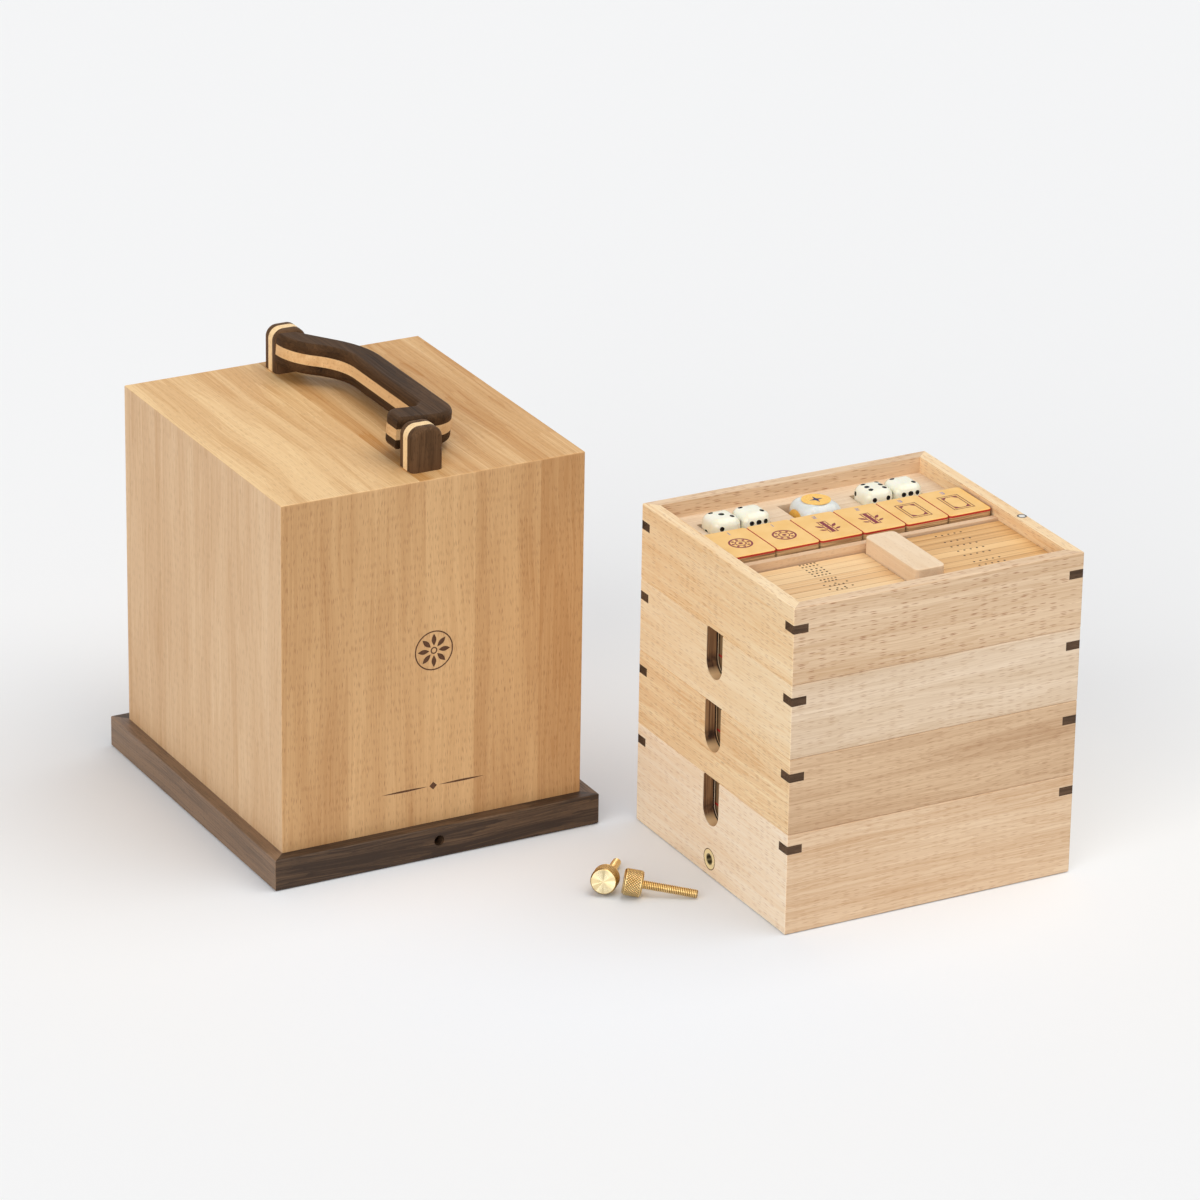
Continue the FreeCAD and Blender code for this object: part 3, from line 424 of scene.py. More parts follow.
innerBoards = {"tray_floors": {"grain": "X", "across": "Y", "seed": 5.1, "light": paint(236, 212, 180),
                               "dark": paint(214, 182, 146), "fleckPull": 0.25},
               "dice_block": {"grain": "X", "across": "Y", "seed": 6.1, "light": paint(242, 221, 194),
                              "dark": paint(222, 192, 158), "fleckPull": 0.15, "linePull": 0.3,
                              "line": (90.0, 1.1, 1.1)},
               "stick_rail": {"grain": "X", "across": "Z", "seed": 7.1, "light": paint(242, 218, 188),
                              "dark": paint(208, 164, 120), "fleckPull": 0.2},
               "divider_block": {"grain": "Y", "across": "Z", "seed": 9.1, "light": paint(246, 222, 191),
                                 "dark": paint(231, 200, 163), "fleckPull": 0.12}}


# The sawn faces of the finger notches in a tray's left and right walls.
def notchCuts(tray):
    if tray == "top":
        return None
    low, high = inMillimetres(f"{tray}_tray_left_wall")
    otherLow = inMillimetres(f"{tray}_tray_right_wall")[0]
    return {"centre": (low.x + otherLow.x) / 2 + notch["halfWall"], "reach": (otherLow.x - low.x) / 2,
            "middle": (low.y + high.y) / 2, "top": high.z, "root": high.z - notch["deep"] + notch["wide"] / 2,
            "seed": high.z / 10}


def dressTrays():
    for number, (tray, look) in enumerate(trays.items()):
        shared = dict(trayGrain, pore=look["pore"])
        sides = dict(shared, grain="Y", across="Z", light=look["side"][0], dark=look["side"][1],
                     cuts=notchCuts(tray))
        pull, size, share = look["flecks"]
        ends = dict(shared, grain="X", across="Z", light=look["front"][0], dark=look["front"][1],
                    fleckPull=pull, fleckSize=size, fleckShare=share)
        for turn, wall in enumerate(("left", "right", "front", "back")):
            board = sides if wall in ("left", "right") else ends
            seed = firstWallSeed + 10 * turn + number
            dress(wood(f"{tray}_tray_{wall}", seed=seed, **board), f"{tray}_tray_{wall}_wall")
    dress(wood("corner_keys", **cornerKeys), *(f"{tray}_tray_corner_keys" for tray in trays))
    floors = [f"{tray}_tray_floor" for tray in trays] + ["packing_boards", "insert_blocks"]
    for board, look in innerBoards.items():
        dress(wood(board, **look), *(floors if board == "tray_floors" else [board]))


dressTrays()
print("trays dressed")


# metal

metals = {"brass": {"colour": paint(252, 224, 164), "tint": paint(238, 204, 138), "roughness": 0.17},
          "brassFace": {"colour": paint(238, 224, 184), "tint": paint(226, 208, 164),
                        "sheenFan": paint(200, 182, 140), "roughness": 0.27},
          "darkSteel": {"colour": paint(120, 118, 114), "tint": paint(84, 82, 80), "roughness": 0.42}}
# of turned metal: the painted sheen fan, darker sectors painted on a spun face in place of its reflections,
# and the fine rings from the lathe
lathe = {"sheenFan": 1.7, "sheenFanRange": (0.42, 0.60), "rings": 9.0, "deep": 0.00006, "anisotropic": 0.75}


# Metal with a slow drift of tint. Turned gives fine lathe rings round the piece's own Z and a painted sheen
# fan, and each groove shade (outer radius, depth, colour) is painted shade that darkens what lies below that
# radius in a knurl or a thread.
def metal(name, look, patch=3.0, turned=0.0, grooveShades=()):
    material, tree = startMaterial(name)
    place = millimetres(tree)
    cloud = cloudy(tree, place, patch, 1.0)
    colour = blend(tree, fade(tree, cloud, 0.4, 0.7), look["colour"], look["tint"])
    spot = wire(tree, "CombineXYZ", {0: place[0], 1: place[1], 2: 0.0}).outputs[0]
    radius = wire(tree, "VectorMath", {0: spot}, operation="LENGTH").outputs["Value"]
    if turned:
        # painted sheen: darker sectors round the axis stand in for the spun face's reflections
        heading = wire(tree, "VectorMath", {0: spot}, operation="NORMALIZE").outputs[0]
        sheenFan = wire(tree, "TexNoise", {"Vector": heading, "Scale": lathe["sheenFan"], "Detail": 2.0}).outputs["Fac"]
        colour = blend(tree, fade(tree, sheenFan, *lathe["sheenFanRange"]), colour, look["sheenFan"])
    for outer, depth, tone in grooveShades:
        low = reckon(tree, "MULTIPLY", fade(tree, radius, outer, outer - depth),
                     reckon(tree, "GREATER_THAN", radius, outer - depth - 0.1))
        colour = blend(tree, low, colour, tone)
    gloss = fade(tree, cloud, 0.3, 0.7, look["roughness"] - 0.05, look["roughness"] + 0.08)
    sockets = {"Base Color": colour, "Metallic": 1.0, "Roughness": gloss}
    if turned:
        rings = wire(tree, "TexNoise", {"W": reckon(tree, "MULTIPLY", radius, lathe["rings"]), "Scale": 1.0,
                                        "Detail": 2.0}, noise_dimensions="1D").outputs["Fac"]
        sockets["Normal"] = bumpOf(tree, rings, turned, lathe["deep"])
        sockets["Anisotropic"] = lathe["anisotropic"]
        sockets["Tangent"] = wire(tree, "Tangent", {}, direction_type="RADIAL", axis="Z").outputs[0]
    return finished(material, tree, sockets)


# Metal seen end on, with one colour near its axis and another further out; the dark one is painted shade.
def shadeRingMetal(node, flat, look):
    low, high = inMillimetres(node)
    material, tree = startMaterial(node)
    place = list(millimetres(tree))
    middle = list((low + high) / 2)
    place[flat] = middle[flat] = 0.0
    spot = wire(tree, "CombineXYZ", dict(enumerate(place))).outputs[0]
    away = wire(tree, "VectorMath", {0: spot, 1: middle}, operation="DISTANCE").outputs["Value"]
    colour = blend(tree, fade(tree, away, *look["step"]), look["inner"], look["outer"])
    return finished(material, tree, {"Base Color": colour, "Roughness": 0.35, "Metallic": look["metallic"]})


# painted shade: the stud's dark outer ring for the shade of its hole, the insert's dark inner disc for the
# shade in its bore and hex socket
stud = {"step": (1.9, 2.4), "inner": paint(226, 224, 220), "outer": paint(58, 50, 44), "metallic": 0.4}
insert = {"step": (3.4, 4.3), "inner": paint(58, 46, 28), "outer": paint(252, 232, 176), "metallic": 0.55}
dress(shadeRingMetal("threaded_inserts", 0, insert), "threaded_inserts")
dress(shadeRingMetal("rim_stud", 2, stud), "rim_stud")
dress(metal("hidden_steel", metals["darkSteel"]), "pivot_pins", "post_screws")
print("metal parts dressed")


# thumbscrews: knurled head, spun face, threaded shank, built along their own Z

screw = {"head": 12.6, "radius": 9.0, "shank": 36.6, "shankRadius": 3.0, "chamfer": 1.3, "slope": 0.8,
         "knurls": 30, "knurlDepth": 0.62, "knurlSteps": 8, "plainEdge": 1.5, "ridge": 1.25,
         "headRings": 44, "edgeRings": 3,
         "pitch": 1.2, "threadDepth": 0.52, "threadSteps": 8, "shankAround": 32, "crest": 1.35,
         "relief": (1.2, 0.35), "taper": (0.8, 0.7),        # at the head and at the tip: how long, how deep
         "sunk": 0.5,                                       # of the shank in the head
         # headShade and shankShade: painted shade for the grooves of the knurl and the thread
         "headShade": paint(112, 76, 34), "shankShade": paint(122, 86, 44)}


# A closed turned form: rings holds heights, radiusAt gives the radius at a height and angle.
def turnedMesh(rings, around, radiusAt):
    vertices, faces = [], []
    for height in rings:
        for step in range(around):
            angle = 2 * math.pi * step / around
            radius = radiusAt(height, angle)
            vertices.append((radius * math.cos(angle), radius * math.sin(angle), height))
    for ring in range(len(rings) - 1):
        for step in range(around):
            a, b = ring * around + step, ring * around + (step + 1) % around
            faces.append((a, b, b + around, a + around))
    faces.append(tuple(reversed(range(around))))
    faces.append(tuple(range((len(rings) - 1) * around, len(rings) * around)))
    return vertices, faces


# A triangle wave from 0 to 1 and back over each whole step.
def wave(value):
    return 1 - abs(2 * (value % 1.0) - 1)


def headRadius(height, angle):
    top, edge = screw["head"] * mm, screw["chamfer"] * mm
    radius = screw["radius"] * mm
    nearest = min(height, top - height)
    if nearest < edge:
        return radius - (edge - nearest) * screw["slope"]
    if nearest < screw["plainEdge"] * mm:
        return radius
    turns = angle / (2 * math.pi) * screw["knurls"]
    rise = height / (2 * math.pi * radius) * screw["knurls"]
    ridge = min(wave(turns + rise), wave(turns - rise))
    return radius - screw["knurlDepth"] * mm * (1 - min(1.0, screw["ridge"] * ridge))


def shankRadius(height, angle):
    outer = screw["shankRadius"] * mm
    start, end = screw["head"] * mm, (screw["head"] + screw["shank"]) * mm
    ridge = wave(height / (screw["pitch"] * mm) - angle / (2 * math.pi))
    cut = screw["threadDepth"] * mm * (1 - min(1.0, screw["crest"] * ridge))
    (reliefLong, reliefDeep), (taperLong, taperDeep) = screw["relief"], screw["taper"]
    relief = max(0.0, 1 - (height - start) / (reliefLong * mm))
    taper = max(0.0, 1 - (end - height) / (taperLong * mm))
    return min(outer - cut, outer - relief * reliefDeep * mm, outer - taper * taperDeep * mm)


def evenly(low, high, count):
    return [low + (high - low) * step / count for step in range(count + 1)]


def pieceFrom(name, mesh, materials):
    for material in materials:
        mesh.materials.append(material)
    return addObject(name, mesh)


# The middle, the axis and the reach along it of a thumbscrew as it lies, read from the CAD solid.
def restAxis(name):
    points = [vertex.co for vertex in nodes[name].data.vertices]
    middle = sum(points, Vector()) / len(points)
    far = max(points, key=lambda point: (point - middle).length)
    spread = Matrix(((0, 0, 0), (0, 0, 0), (0, 0, 0)))
    for point in points:
        offset = point - middle
        for row in range(3):
            for column in range(3):
                spread[row][column] += offset[row] * offset[column]
    axis = (far - middle).normalized()
    for _ in range(60):
        axis = (spread @ axis).normalized()
    lows = [(point - middle).dot(axis) for point in points]
    return middle, axis, min(lows), max(lows), points


def makeThumbscrew(name, faceMaterial, brass):
    middle, axis, low, high, points = restAxis(name)
    levels = [(point - middle).dot(axis) for point in points]
    widths = [(point - middle - axis * level).length for point, level in zip(points, levels)]
    highEnd = max(width for width, level in zip(widths, levels) if level > high - 2 * mm)
    lowEnd = max(width for width, level in zip(widths, levels) if level < low + 2 * mm)
    if highEnd > lowEnd:
        axis, low = -axis, -high
    face = middle + axis * low
    headTop, chamfer, plain = screw["head"] * mm, screw["chamfer"] * mm, screw["plainEdge"] * mm
    rings = evenly(0, chamfer, screw["edgeRings"]) + evenly(plain, headTop - plain, screw["headRings"])
    rings += evenly(headTop - chamfer, headTop, screw["edgeRings"])
    headVertices, headFaces = turnedMesh(rings, screw["knurls"] * screw["knurlSteps"], headRadius)
    end = (screw["head"] + screw["shank"]) * mm
    count = int(screw["shank"] / screw["pitch"] * screw["threadSteps"])
    rings = evenly(headTop - screw["sunk"] * mm, end, count)
    shankVertices, shankFaces = turnedMesh(rings, screw["shankAround"], shankRadius)
    offset = len(headVertices)
    faces = headFaces + [tuple(index + offset for index in loop) for loop in shankFaces]
    mesh = bpy.data.meshes.new(f"{name}_turned")
    mesh.from_pydata(headVertices + shankVertices, [], faces)
    mesh.validate()
    piece = pieceFrom(f"{name}_turned", mesh, [brass, faceMaterial])
    for polygon in mesh.polygons:
        flatEnd = len(polygon.vertices) > 4
        polygon.material_index = 1 if flatEnd and polygon.center.z < mm else 0
        polygon.use_smooth = not flatEnd
    piece.matrix_world = Matrix.Translation(face) @ axis.to_track_quat("Z", "Y").to_matrix().to_4x4()
    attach(piece, name)
    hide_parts(name)


faceMaterial = metal("brass_face", metals["brassFace"], patch=6.0, turned=0.2)
# painted shade in the grooves of the knurl and the thread
grooveShades = [(screw["radius"], screw["knurlDepth"], screw["headShade"]),
           (screw["shankRadius"], screw["threadDepth"], screw["shankShade"])]
brassMaterial = metal("brass_turned", metals["brass"], patch=5.0, grooveShades=grooveShades)
for screwName in ("left_thumbscrew", "right_thumbscrew"):
    makeThumbscrew(screwName, faceMaterial, brassMaterial)
print("thumbscrews made")


# tiles: bamboo-like body, a thin red layer and a golden face

tile = {"wide": 32.5, "thick": 22.0, "pitch": 32.6, "pitchBack": 42.6, "seamWide": 0.4,
        "fibre": (26.0, 26.0, 0.55), "patch": 14.0, "below": 0.05,
        "seam": paint(140, 112, 80),       # between packed tiles
        "face": paint(248, 201, 122), "faceDrift": paint(241, 190, 104), "redLine": paint(184, 42, 36),
        "redEdge": 0.42,                   # red strip down each side of a face
        "spareBody": (paint(212, 176, 128), paint(128, 90, 58)), "spareFace": 0.6, "spareRed": 1.3,
        "packedBody": (paint(226, 212, 188), paint(204, 184, 152)), "packedFace": 0.0, "packedRed": 0.7}


# In a row of like pieces: which one it is, and the distance from its middle as a share of the pitch.
def inRow(tree, value, rowStart, pitch):
    steps = reckon(tree, "DIVIDE", reckon(tree, "SUBTRACT", value, rowStart), pitch)
    return reckon(tree, "FLOOR", steps), apart(tree, reckon(tree, "FRACT", steps), 0.5)


# 1 close to where one tile of a row meets the next.
def betweenTiles(tree, value, rowStart, pitch, wide):
    return reckon(tree, "GREATER_THAN", inRow(tree, value, rowStart, pitch)[1], 0.5 - wide / pitch)


# Layers holds, from low to high: level where it starts, and what it is. The rows of tiles start at corner;
# between packed tiles there is a dark seam, between faces that lie open a red one.
def tileMaterial(name, layers, bodyColours, corner, packed):
    material, tree = startMaterial(name)
    place = millimetres(tree)
    fibre = noise(tree, stretched(tree, place[1], place[0], place[2], tile["fibre"]), 2.0, detail=3.0)
    body = blend(tree, fade(tree, fibre, 0.35, 0.65), *bodyColours)
    cloud = cloudy(tree, place, tile["patch"], 5.0)
    face = blend(tree, fade(tree, cloud, 0.35, 0.65), tile["face"], tile["faceDrift"])
    if packed:
        seam = reckon(tree, "MAXIMUM",
                      betweenTiles(tree, place[0], corner.x, tile["pitch"], tile["seamWide"]),
                      betweenTiles(tree, place[1], corner.y, tile["pitchBack"], tile["seamWide"]))
        body = blend(tree, seam, body, tile["seam"])
    else:
        seam = betweenTiles(tree, place[0], corner.x, tile["pitch"], tile["redEdge"])
        face = blend(tree, seam, face, tile["redLine"])
    finish = {"body": body, "face": face, "red": tile["redLine"]}
    colour = finish[layers[0][1]]
    for level, kind in layers[1:]:
        above = reckon(tree, "GREATER_THAN", place[2], level)
        colour = blend(tree, above, colour, finish[kind])
    return finished(material, tree, {"Base Color": colour, "Roughness": 0.38, "Specular IOR Level": 0.45,
                                     "Normal": bumpOf(tree, fibre, 0.05, 0.0001)})


# Levels of one layer of tiles whose underside is at bottom.
def tileLayers(bottom, faceUp, faceThick, redThick):
    start = bottom - tile["below"]
    if faceUp:
        top = bottom + tile["thick"]
        return [(start, "body"), (top - faceThick - redThick, "red"), (top - faceThick, "face")]
    return [(start, "body"), (bottom + faceThick, "red"), (bottom + faceThick + redThick, "body")]


def dressTiles():
    packed = (tile["packedFace"], tile["packedRed"])
    for tray in ("bottom", "middle", "upper"):
        low, high = inMillimetres(f"{tray}_tray_tiles")
        layers = tileLayers(low.z, True, *packed) + tileLayers(high.z - tile["thick"], False, *packed)
        dress(tileMaterial(f"{tray}_tray_tiles", layers, tile["packedBody"], low, True), f"{tray}_tray_tiles")
    low, high = inMillimetres("spare_tiles")
    layers = tileLayers(high.z - tile["thick"], True, tile["spareFace"], tile["spareRed"])
    dress(tileMaterial("spare_tiles", layers, tile["spareBody"], low, False), "spare_tiles")


dressTiles()


worn = {"patch": 1.6, "times": 1.35, "plus": 0.012}


# Paint or burn that varies a little over a piece, with lighter spots.
def ink(name, colour, roughness=0.5):
    material, tree = startMaterial(name)
    place = millimetres(tree)
    cloud = cloudy(tree, place, worn["patch"], 4.0)
    lighter = tuple(min(1.0, channel * worn["times"] + worn["plus"]) for channel in colour[:3]) + (1.0,)
    mixed = blend(tree, fade(tree, cloud, 0.4, 0.75), colour, lighter)
    return finished(material, tree, {"Base Color": mixed, "Roughness": roughness, "Specular IOR Level": 0.3})


inks = {"darkRed": ink("ink_dark_red", paint(120, 28, 44)), "blue": ink("ink_blue", paint(128, 130, 190)),
        "brown": ink("ink_brown", paint(132, 78, 44)), "navy": ink("ink_navy", paint(34, 34, 84)),
        "burn": ink("burned_line", paint(84, 54, 34), 0.7), "dots": ink("burned_dot", paint(58, 36, 22), 0.7),
        "shadow": ink("countersink_shade", paint(96, 62, 38), 0.8),
        "black": ink("pip_black", paint(16, 14, 14), 0.25)}


# flat marks are closed outlines in millimetres, raised a hair above what they lie on

def circle(x, y, radius, steps):
    return [(x + radius * math.cos(2 * math.pi * k / steps),
             y + radius * math.sin(2 * math.pi * k / steps)) for k in range(steps)]


# Points turned about the origin, then moved to x, y.
def turnedAt(points, x, y, turn):
    cosine, sine = math.cos(turn), math.sin(turn)
    return [(x + cosine * a - sine * b, y + sine * a + cosine * b) for a, b in points]


# A straight stroke through x, y; with rounding its ends are drawn in to a point.
def bar(x, y, length, width, turn=0.0, rounding=0.0):
    half, side = length / 2, width / 2
    corners = [(-half, -side + rounding), (-half + rounding, -side), (half - rounding, -side),
               (half, -side + rounding), (half, side - rounding), (half - rounding, side),
               (-half + rounding, side), (-half, side - rounding)] if rounding else [
        (-half, -side), (half, -side), (half, side), (-half, side)]
    return turnedAt(corners, x, y, turn)


# A leaf from x, y outwards.
def petal(x, y, length, width, turn, steps=10):
    right = [(length * k / steps, width / 2 * math.sin(math.pi * k / steps)) for k in range(steps + 1)]
    return turnedAt(right + [(a, -b) for a, b in reversed(right[1:-1])], x, y, turn)


# A ring as short four-sided pieces.
def ringStrips(x, y, outer, inner, steps=36):
    strips = []
    for k in range(steps):
        a, b = 2 * math.pi * k / steps, 2 * math.pi * (k + 1) / steps
        strips.append([(x + r * math.cos(t), y + r * math.sin(t))
                       for r, t in ((inner, a), (outer, a), (outer, b), (inner, b))])
    return strips


def meshObject(name, made, materials):
    mesh = bpy.data.meshes.new(name)
    made.to_mesh(mesh)
    made.free()
    return pieceFrom(name, mesh, materials)


# Outlines as thin plates on a plane at origin, which runs right and up.
def markPiece(name, outlines, thickness, origin, right, up, material, body, slot):
    made = bmesh.new()
    right, up = Vector(right).normalized(), Vector(up).normalized()
    outward = right.cross(up)
    for outline in outlines:
        lower = [made.verts.new(Vector(origin) + (right * a + up * b) * mm) for a, b in outline]
        upper = [made.verts.new(vertex.co + outward * thickness * mm) for vertex in lower]
        count = len(outline)
        made.faces.new(upper)
        made.faces.new(list(reversed(lower)))
        for k in range(count):
            made.faces.new((lower[k], lower[(k + 1) % count], upper[(k + 1) % count], upper[k]))
    bmesh.ops.recalc_face_normals(made, faces=made.faces)
    piece = meshObject(name, made, [material])
    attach(piece, body)


tileMark = {"thickness": 0.04, "centreBack": -2.0, "ring": (8.2, 6.9), "innerRing": (4.0, 3.2),
            "petals": 8, "petalAt": 4.3, "petal": (2.4, 2.1), "dot": 1.5,
            "frame": (16.0, 23.0), "frameGap": 2.0, "frameLine": 0.8, "cornerLong": 3.0,
            "numeralBack": 15.4, "numeral": (3.3, 1.9, 0.55)}        # high, wide, line
bamboo = {"high": 18.0, "wide": 4.6, "parts": 3, "stem": 0.62, "stemGap": 0.7, "sideGap": 1.6,
          "sideWide": 0.7, "jointThick": 0.8, "jointShare": 1.5,
          "rounding": (0.5, 0.2, 0.25),    # of stem, side line and joint
          "leafAside": 3.2,
          # each pair of leaves: how far up, length, width, lean
          "leaves": [(-1.0, 6.4, 2.4, 0.75), (-5.4, 5.2, 2.0, 1.1)]}


# Round flower, as on a circle tile.
def dotMark():
    centre = tileMark["centreBack"]
    shapes = ringStrips(0, centre, *tileMark["ring"])
    shapes += ringStrips(0, centre, *tileMark["innerRing"], steps=24)
    for k in range(tileMark["petals"]):
        turn = 2 * math.pi * k / tileMark["petals"]
        away = tileMark["petalAt"]
        shapes.append(petal(away * math.cos(turn), centre + away * math.sin(turn), *tileMark["petal"], turn))
    shapes.append(circle(0, centre, tileMark["dot"], 16))
    return shapes


# A jointed cane with two leaves, as on a bamboo tile.
def bambooMark():
    centre, step, upright = tileMark["centreBack"], bamboo["high"] / bamboo["parts"], math.pi / 2
    stemRound, sideRound, jointRound = bamboo["rounding"]
    aside = bamboo["wide"] * bamboo["stem"]
    shapes = []
    for k in range(bamboo["parts"]):
        y = centre + (k - (bamboo["parts"] - 1) / 2) * step
        shapes.append(bar(0, y, step - bamboo["stemGap"], aside, upright, stemRound))
        shapes += [bar(side * aside, y, step - bamboo["sideGap"], bamboo["sideWide"], upright, sideRound)
                   for side in (-1, 1)]
    for k in range(bamboo["parts"] + 1):
        y = centre + (k - bamboo["parts"] / 2) * step
        shapes.append(bar(0, y, bamboo["jointThick"], bamboo["wide"] * bamboo["jointShare"], upright,
                          jointRound))
    return shapes + [petal(side * bamboo["leafAside"], centre + rise, length, width, upright - side * lean)
                     for side in (-1, 1) for rise, length, width, lean in bamboo["leaves"]]


# Two thin frames, one in the other, with small triangles in the corners.
def frameMark():
    (wide, high), line = tileMark["frame"], tileMark["frameLine"]
    shapes, corners, y, long = [], [], tileMark["centreBack"], tileMark["cornerLong"]
    for inset in (0.0, tileMark["frameGap"]):
        a, b = wide / 2 - inset, high / 2 - inset
        shapes += [bar(0, y + b, 2 * a, line), bar(0, y - b, 2 * a, line)]
        shapes += [bar(a - line / 2, y, 2 * b - line, line, math.pi / 2),
                   bar(-a + line / 2, y, 2 * b - line, line, math.pi / 2)]
    for sx in (-1, 1):
        for sy in (-1, 1):
            x, y = sx * (a - line), tileMark["centreBack"] + sy * (b - line / 2)
            corner = [(x, y), (x - sx * long, y), (x, y - sy * long)]
            corners.append(corner if sx * sy < 0 else corner[::-1])
    return shapes, corners


# a few straight strokes, as on a pocket calculator, make a plain number
strokes = {"1": "bc", "2": "abged", "3": "abgcd"}


def numeral(text, y):
    high, wide, line = tileMark["numeral"]
    side, level, half, upright = wide / 2, high / 4, high / 2, math.pi / 2
    lines = {"a": (0, half, wide, 0.0), "g": (0, 0, wide, 0.0), "d": (0, -half, wide, 0.0),
             "b": (side, level, half, upright), "c": (side, -level, half, upright),
             "e": (-side, -level, half, upright)}
    places = [lines[key] for key in strokes[text]]
    return [bar(across, y + up, length + line, line, turn) for across, up, length, turn in places]


def markTiles():
    low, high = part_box("spare_tiles")
    middle = (low.y + high.y) / 2
    first = low.x + tile["wide"] / 2 * mm
    for number in range(6):
        x = first + number * tile["pitch"] * mm
        origin = (x, middle, high.z)
        place = dict(origin=origin, right=(1, 0, 0), up=(0, 1, 0), body="spare_tiles", slot="tile",
                     thickness=tileMark["thickness"])
        if number < 2:
            markPiece(f"tile_flower_{number}", dotMark(), material=inks["darkRed"], **place)
        elif number < 4:
            markPiece(f"tile_bamboo_{number}", bambooMark(), material=inks["darkRed"], **place)
        else:
            shapes, corners = frameMark()
            markPiece(f"tile_frame_{number}", shapes, material=inks["brown"], **place)
            markPiece(f"tile_frame_corners_{number}", corners, material=inks["darkRed"], **place)
        digit = numeral(str(number // 2 + 1), tileMark["numeralBack"])
        markPiece(f"tile_number_{number}", digit, material=inks["blue"], **place)


markTiles()
print("tiles dressed and marked")


# dice: rounded cubes with drilled pips

dice = {"size": 22.0, "round": 6.4, "segments": 12, "pipRadius": 2.1, "pipDepth": 0.8, "spread": 5.5,
        "ballRings": 12, "ballAround": 24, "sharpFrom": math.radians(35), "patch": 12.0,
        "material": paint(248, 246, 228), "shade": paint(240, 236, 212)}
pipPlaces = {1: [(0, 0)], 2: [(-1, 1), (1, -1)], 3: [(-1, 1), (0, 0), (1, -1)],
             4: [(-1, 1), (1, 1), (-1, -1), (1, -1)], 5: [(-1, 1), (1, 1), (0, 0), (-1, -1), (1, -1)],
             6: [(-1, 1), (0, 1), (1, 1), (-1, -1), (0, -1), (1, -1)]}
# each side of a die: the way it faces, and which ways its pips run
dieSides = {"top": ((0, 0, 1), (1, 0, 0)), "bottom": ((0, 0, -1), (1, 0, 0)),
            "front": ((0, -1, 0), (1, 0, 0)), "back": ((0, 1, 0), (-1, 0, 0)),
            "left": ((-1, 0, 0), (0, -1, 0)), "right": ((1, 0, 0), (0, 1, 0))}
diePairs = [
    {"body": "left_dice", "numbers": [{"top": 3, "front": 2, "left": 1}, {"top": 2, "front": 6, "left": 3}],
     "turned": [False, False]},
    {"body": "right_dice", "numbers": [{"top": 6, "front": 4, "left": 2}, {"top": 2, "front": 6, "left": 3}],
     "turned": [True, False]}]


def boneMaterial(name, light, dark, depth):
    material, tree = startMaterial(name)
    place = millimetres(tree)
    cloud = cloudy(tree, place, dice["patch"], 1.0)
    colour = blend(tree, fade(tree, cloud, 0.35, 0.65), light, dark)
    return finished(material, tree, {"Base Color": colour, "Roughness": 0.22, "Specular IOR Level": 0.5,
                                     "Subsurface Weight": 0.25, "Subsurface Scale": depth,
                                     "Subsurface Radius": (1.0, 0.8, 0.5), "Coat Weight": 0.3,
                                     "Coat Roughness": 0.08})


def roundedCube():
    made = bmesh.new()
    bmesh.ops.create_cube(made, size=dice["size"] * mm)
    bmesh.ops.bevel(made, geom=made.edges[:], offset=dice["round"] * mm, segments=dice["segments"],
                    profile=0.5, affect="EDGES", clamp_overlap=True)
    return made


# Spheres to cut with, as one mesh.
def balls(centres, radius):
    made = bmesh.new()
    for centre in centres:
        bmesh.ops.create_uvsphere(made, u_segments=dice["ballAround"], v_segments=dice["ballRings"],
                                  radius=radius * mm, matrix=Matrix.Translation(centre * mm))
    return made


# Takes the cutter out of the piece for good; the cut faces keep the cutter's material.
def cutAway(piece, cutter):
    modifier = piece.modifiers.new("pips", "BOOLEAN")
    modifier.operation = "DIFFERENCE"
    modifier.solver = "EXACT"
    modifier.material_mode = "TRANSFER"
    modifier.object = cutter
    bpy.context.view_layer.update()
    cutMesh = bpy.data.meshes.new_from_object(piece.evaluated_get(bpy.context.evaluated_depsgraph_get()))
    piece.modifiers.clear()
    piece.data = cutMesh
    bpy.data.objects.remove(cutter)


def makeDie(name, body, centre, numbers, turned, materials):
    numbers = dict(numbers)
    for side, other in (("top", "bottom"), ("front", "back"), ("left", "right")):
        numbers[other] = 7 - numbers[side]
    half, radius, depth = dice["size"] / 2, dice["pipRadius"], dice["pipDepth"]
    ballRadius = (radius ** 2 + depth ** 2) / (2 * depth)
    centres = []
    for side, count in numbers.items():
        outward, right = (Vector(direction) for direction in dieSides[side])
        up = outward.cross(right)
        if turned and count == 6:
            right, up = up, -right
        for a, b in pipPlaces[count]:
            spot = outward * (half + ballRadius - depth) + (right * a + up * b) * dice["spread"]
            centres.append(spot)
    piece = meshObject(name, roundedCube(), [materials[0]])
    cutter = meshObject(name + "_cutter", balls(centres, ballRadius), [materials[1]])
    cutAway(piece, cutter)
    for polygon in piece.data.polygons:
        polygon.use_smooth = True
    piece.data.set_sharp_from_angle(angle=dice["sharpFrom"])
    piece.location = centre
    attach(piece, body)
    return piece


def makeDice():
    bone = boneMaterial("die_bone", dice["material"], dice["shade"], 0.002)
    for pair in diePairs:
        body = pair["body"]
        low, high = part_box(body)
        for number in range(2):
            half = dice["size"] / 2 * mm
            x = low.x + half if number == 0 else high.x - half
            centre = (x, (low.y + high.y) / 2, (low.z + high.z) / 2)
            piece = makeDie(f"{body}_{number + 1}", body, centre, pair["numbers"][number],
                            pair["turned"][number], [bone, inks["black"]])
            if number == 0:
                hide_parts(body)


makeDice()
print("dice made")


# wind die: milky cube, a round golden disc with a star on each side

windDie = {"disc": 10.0, "sunk": 0.06, "proud": 0.05,
           "light": paint(232, 235, 232), "dark": paint(208, 212, 208),
           "gold": paint(248, 188, 88), "star": 5.2, "starWaist": 1.5, "starThick": 0.03}


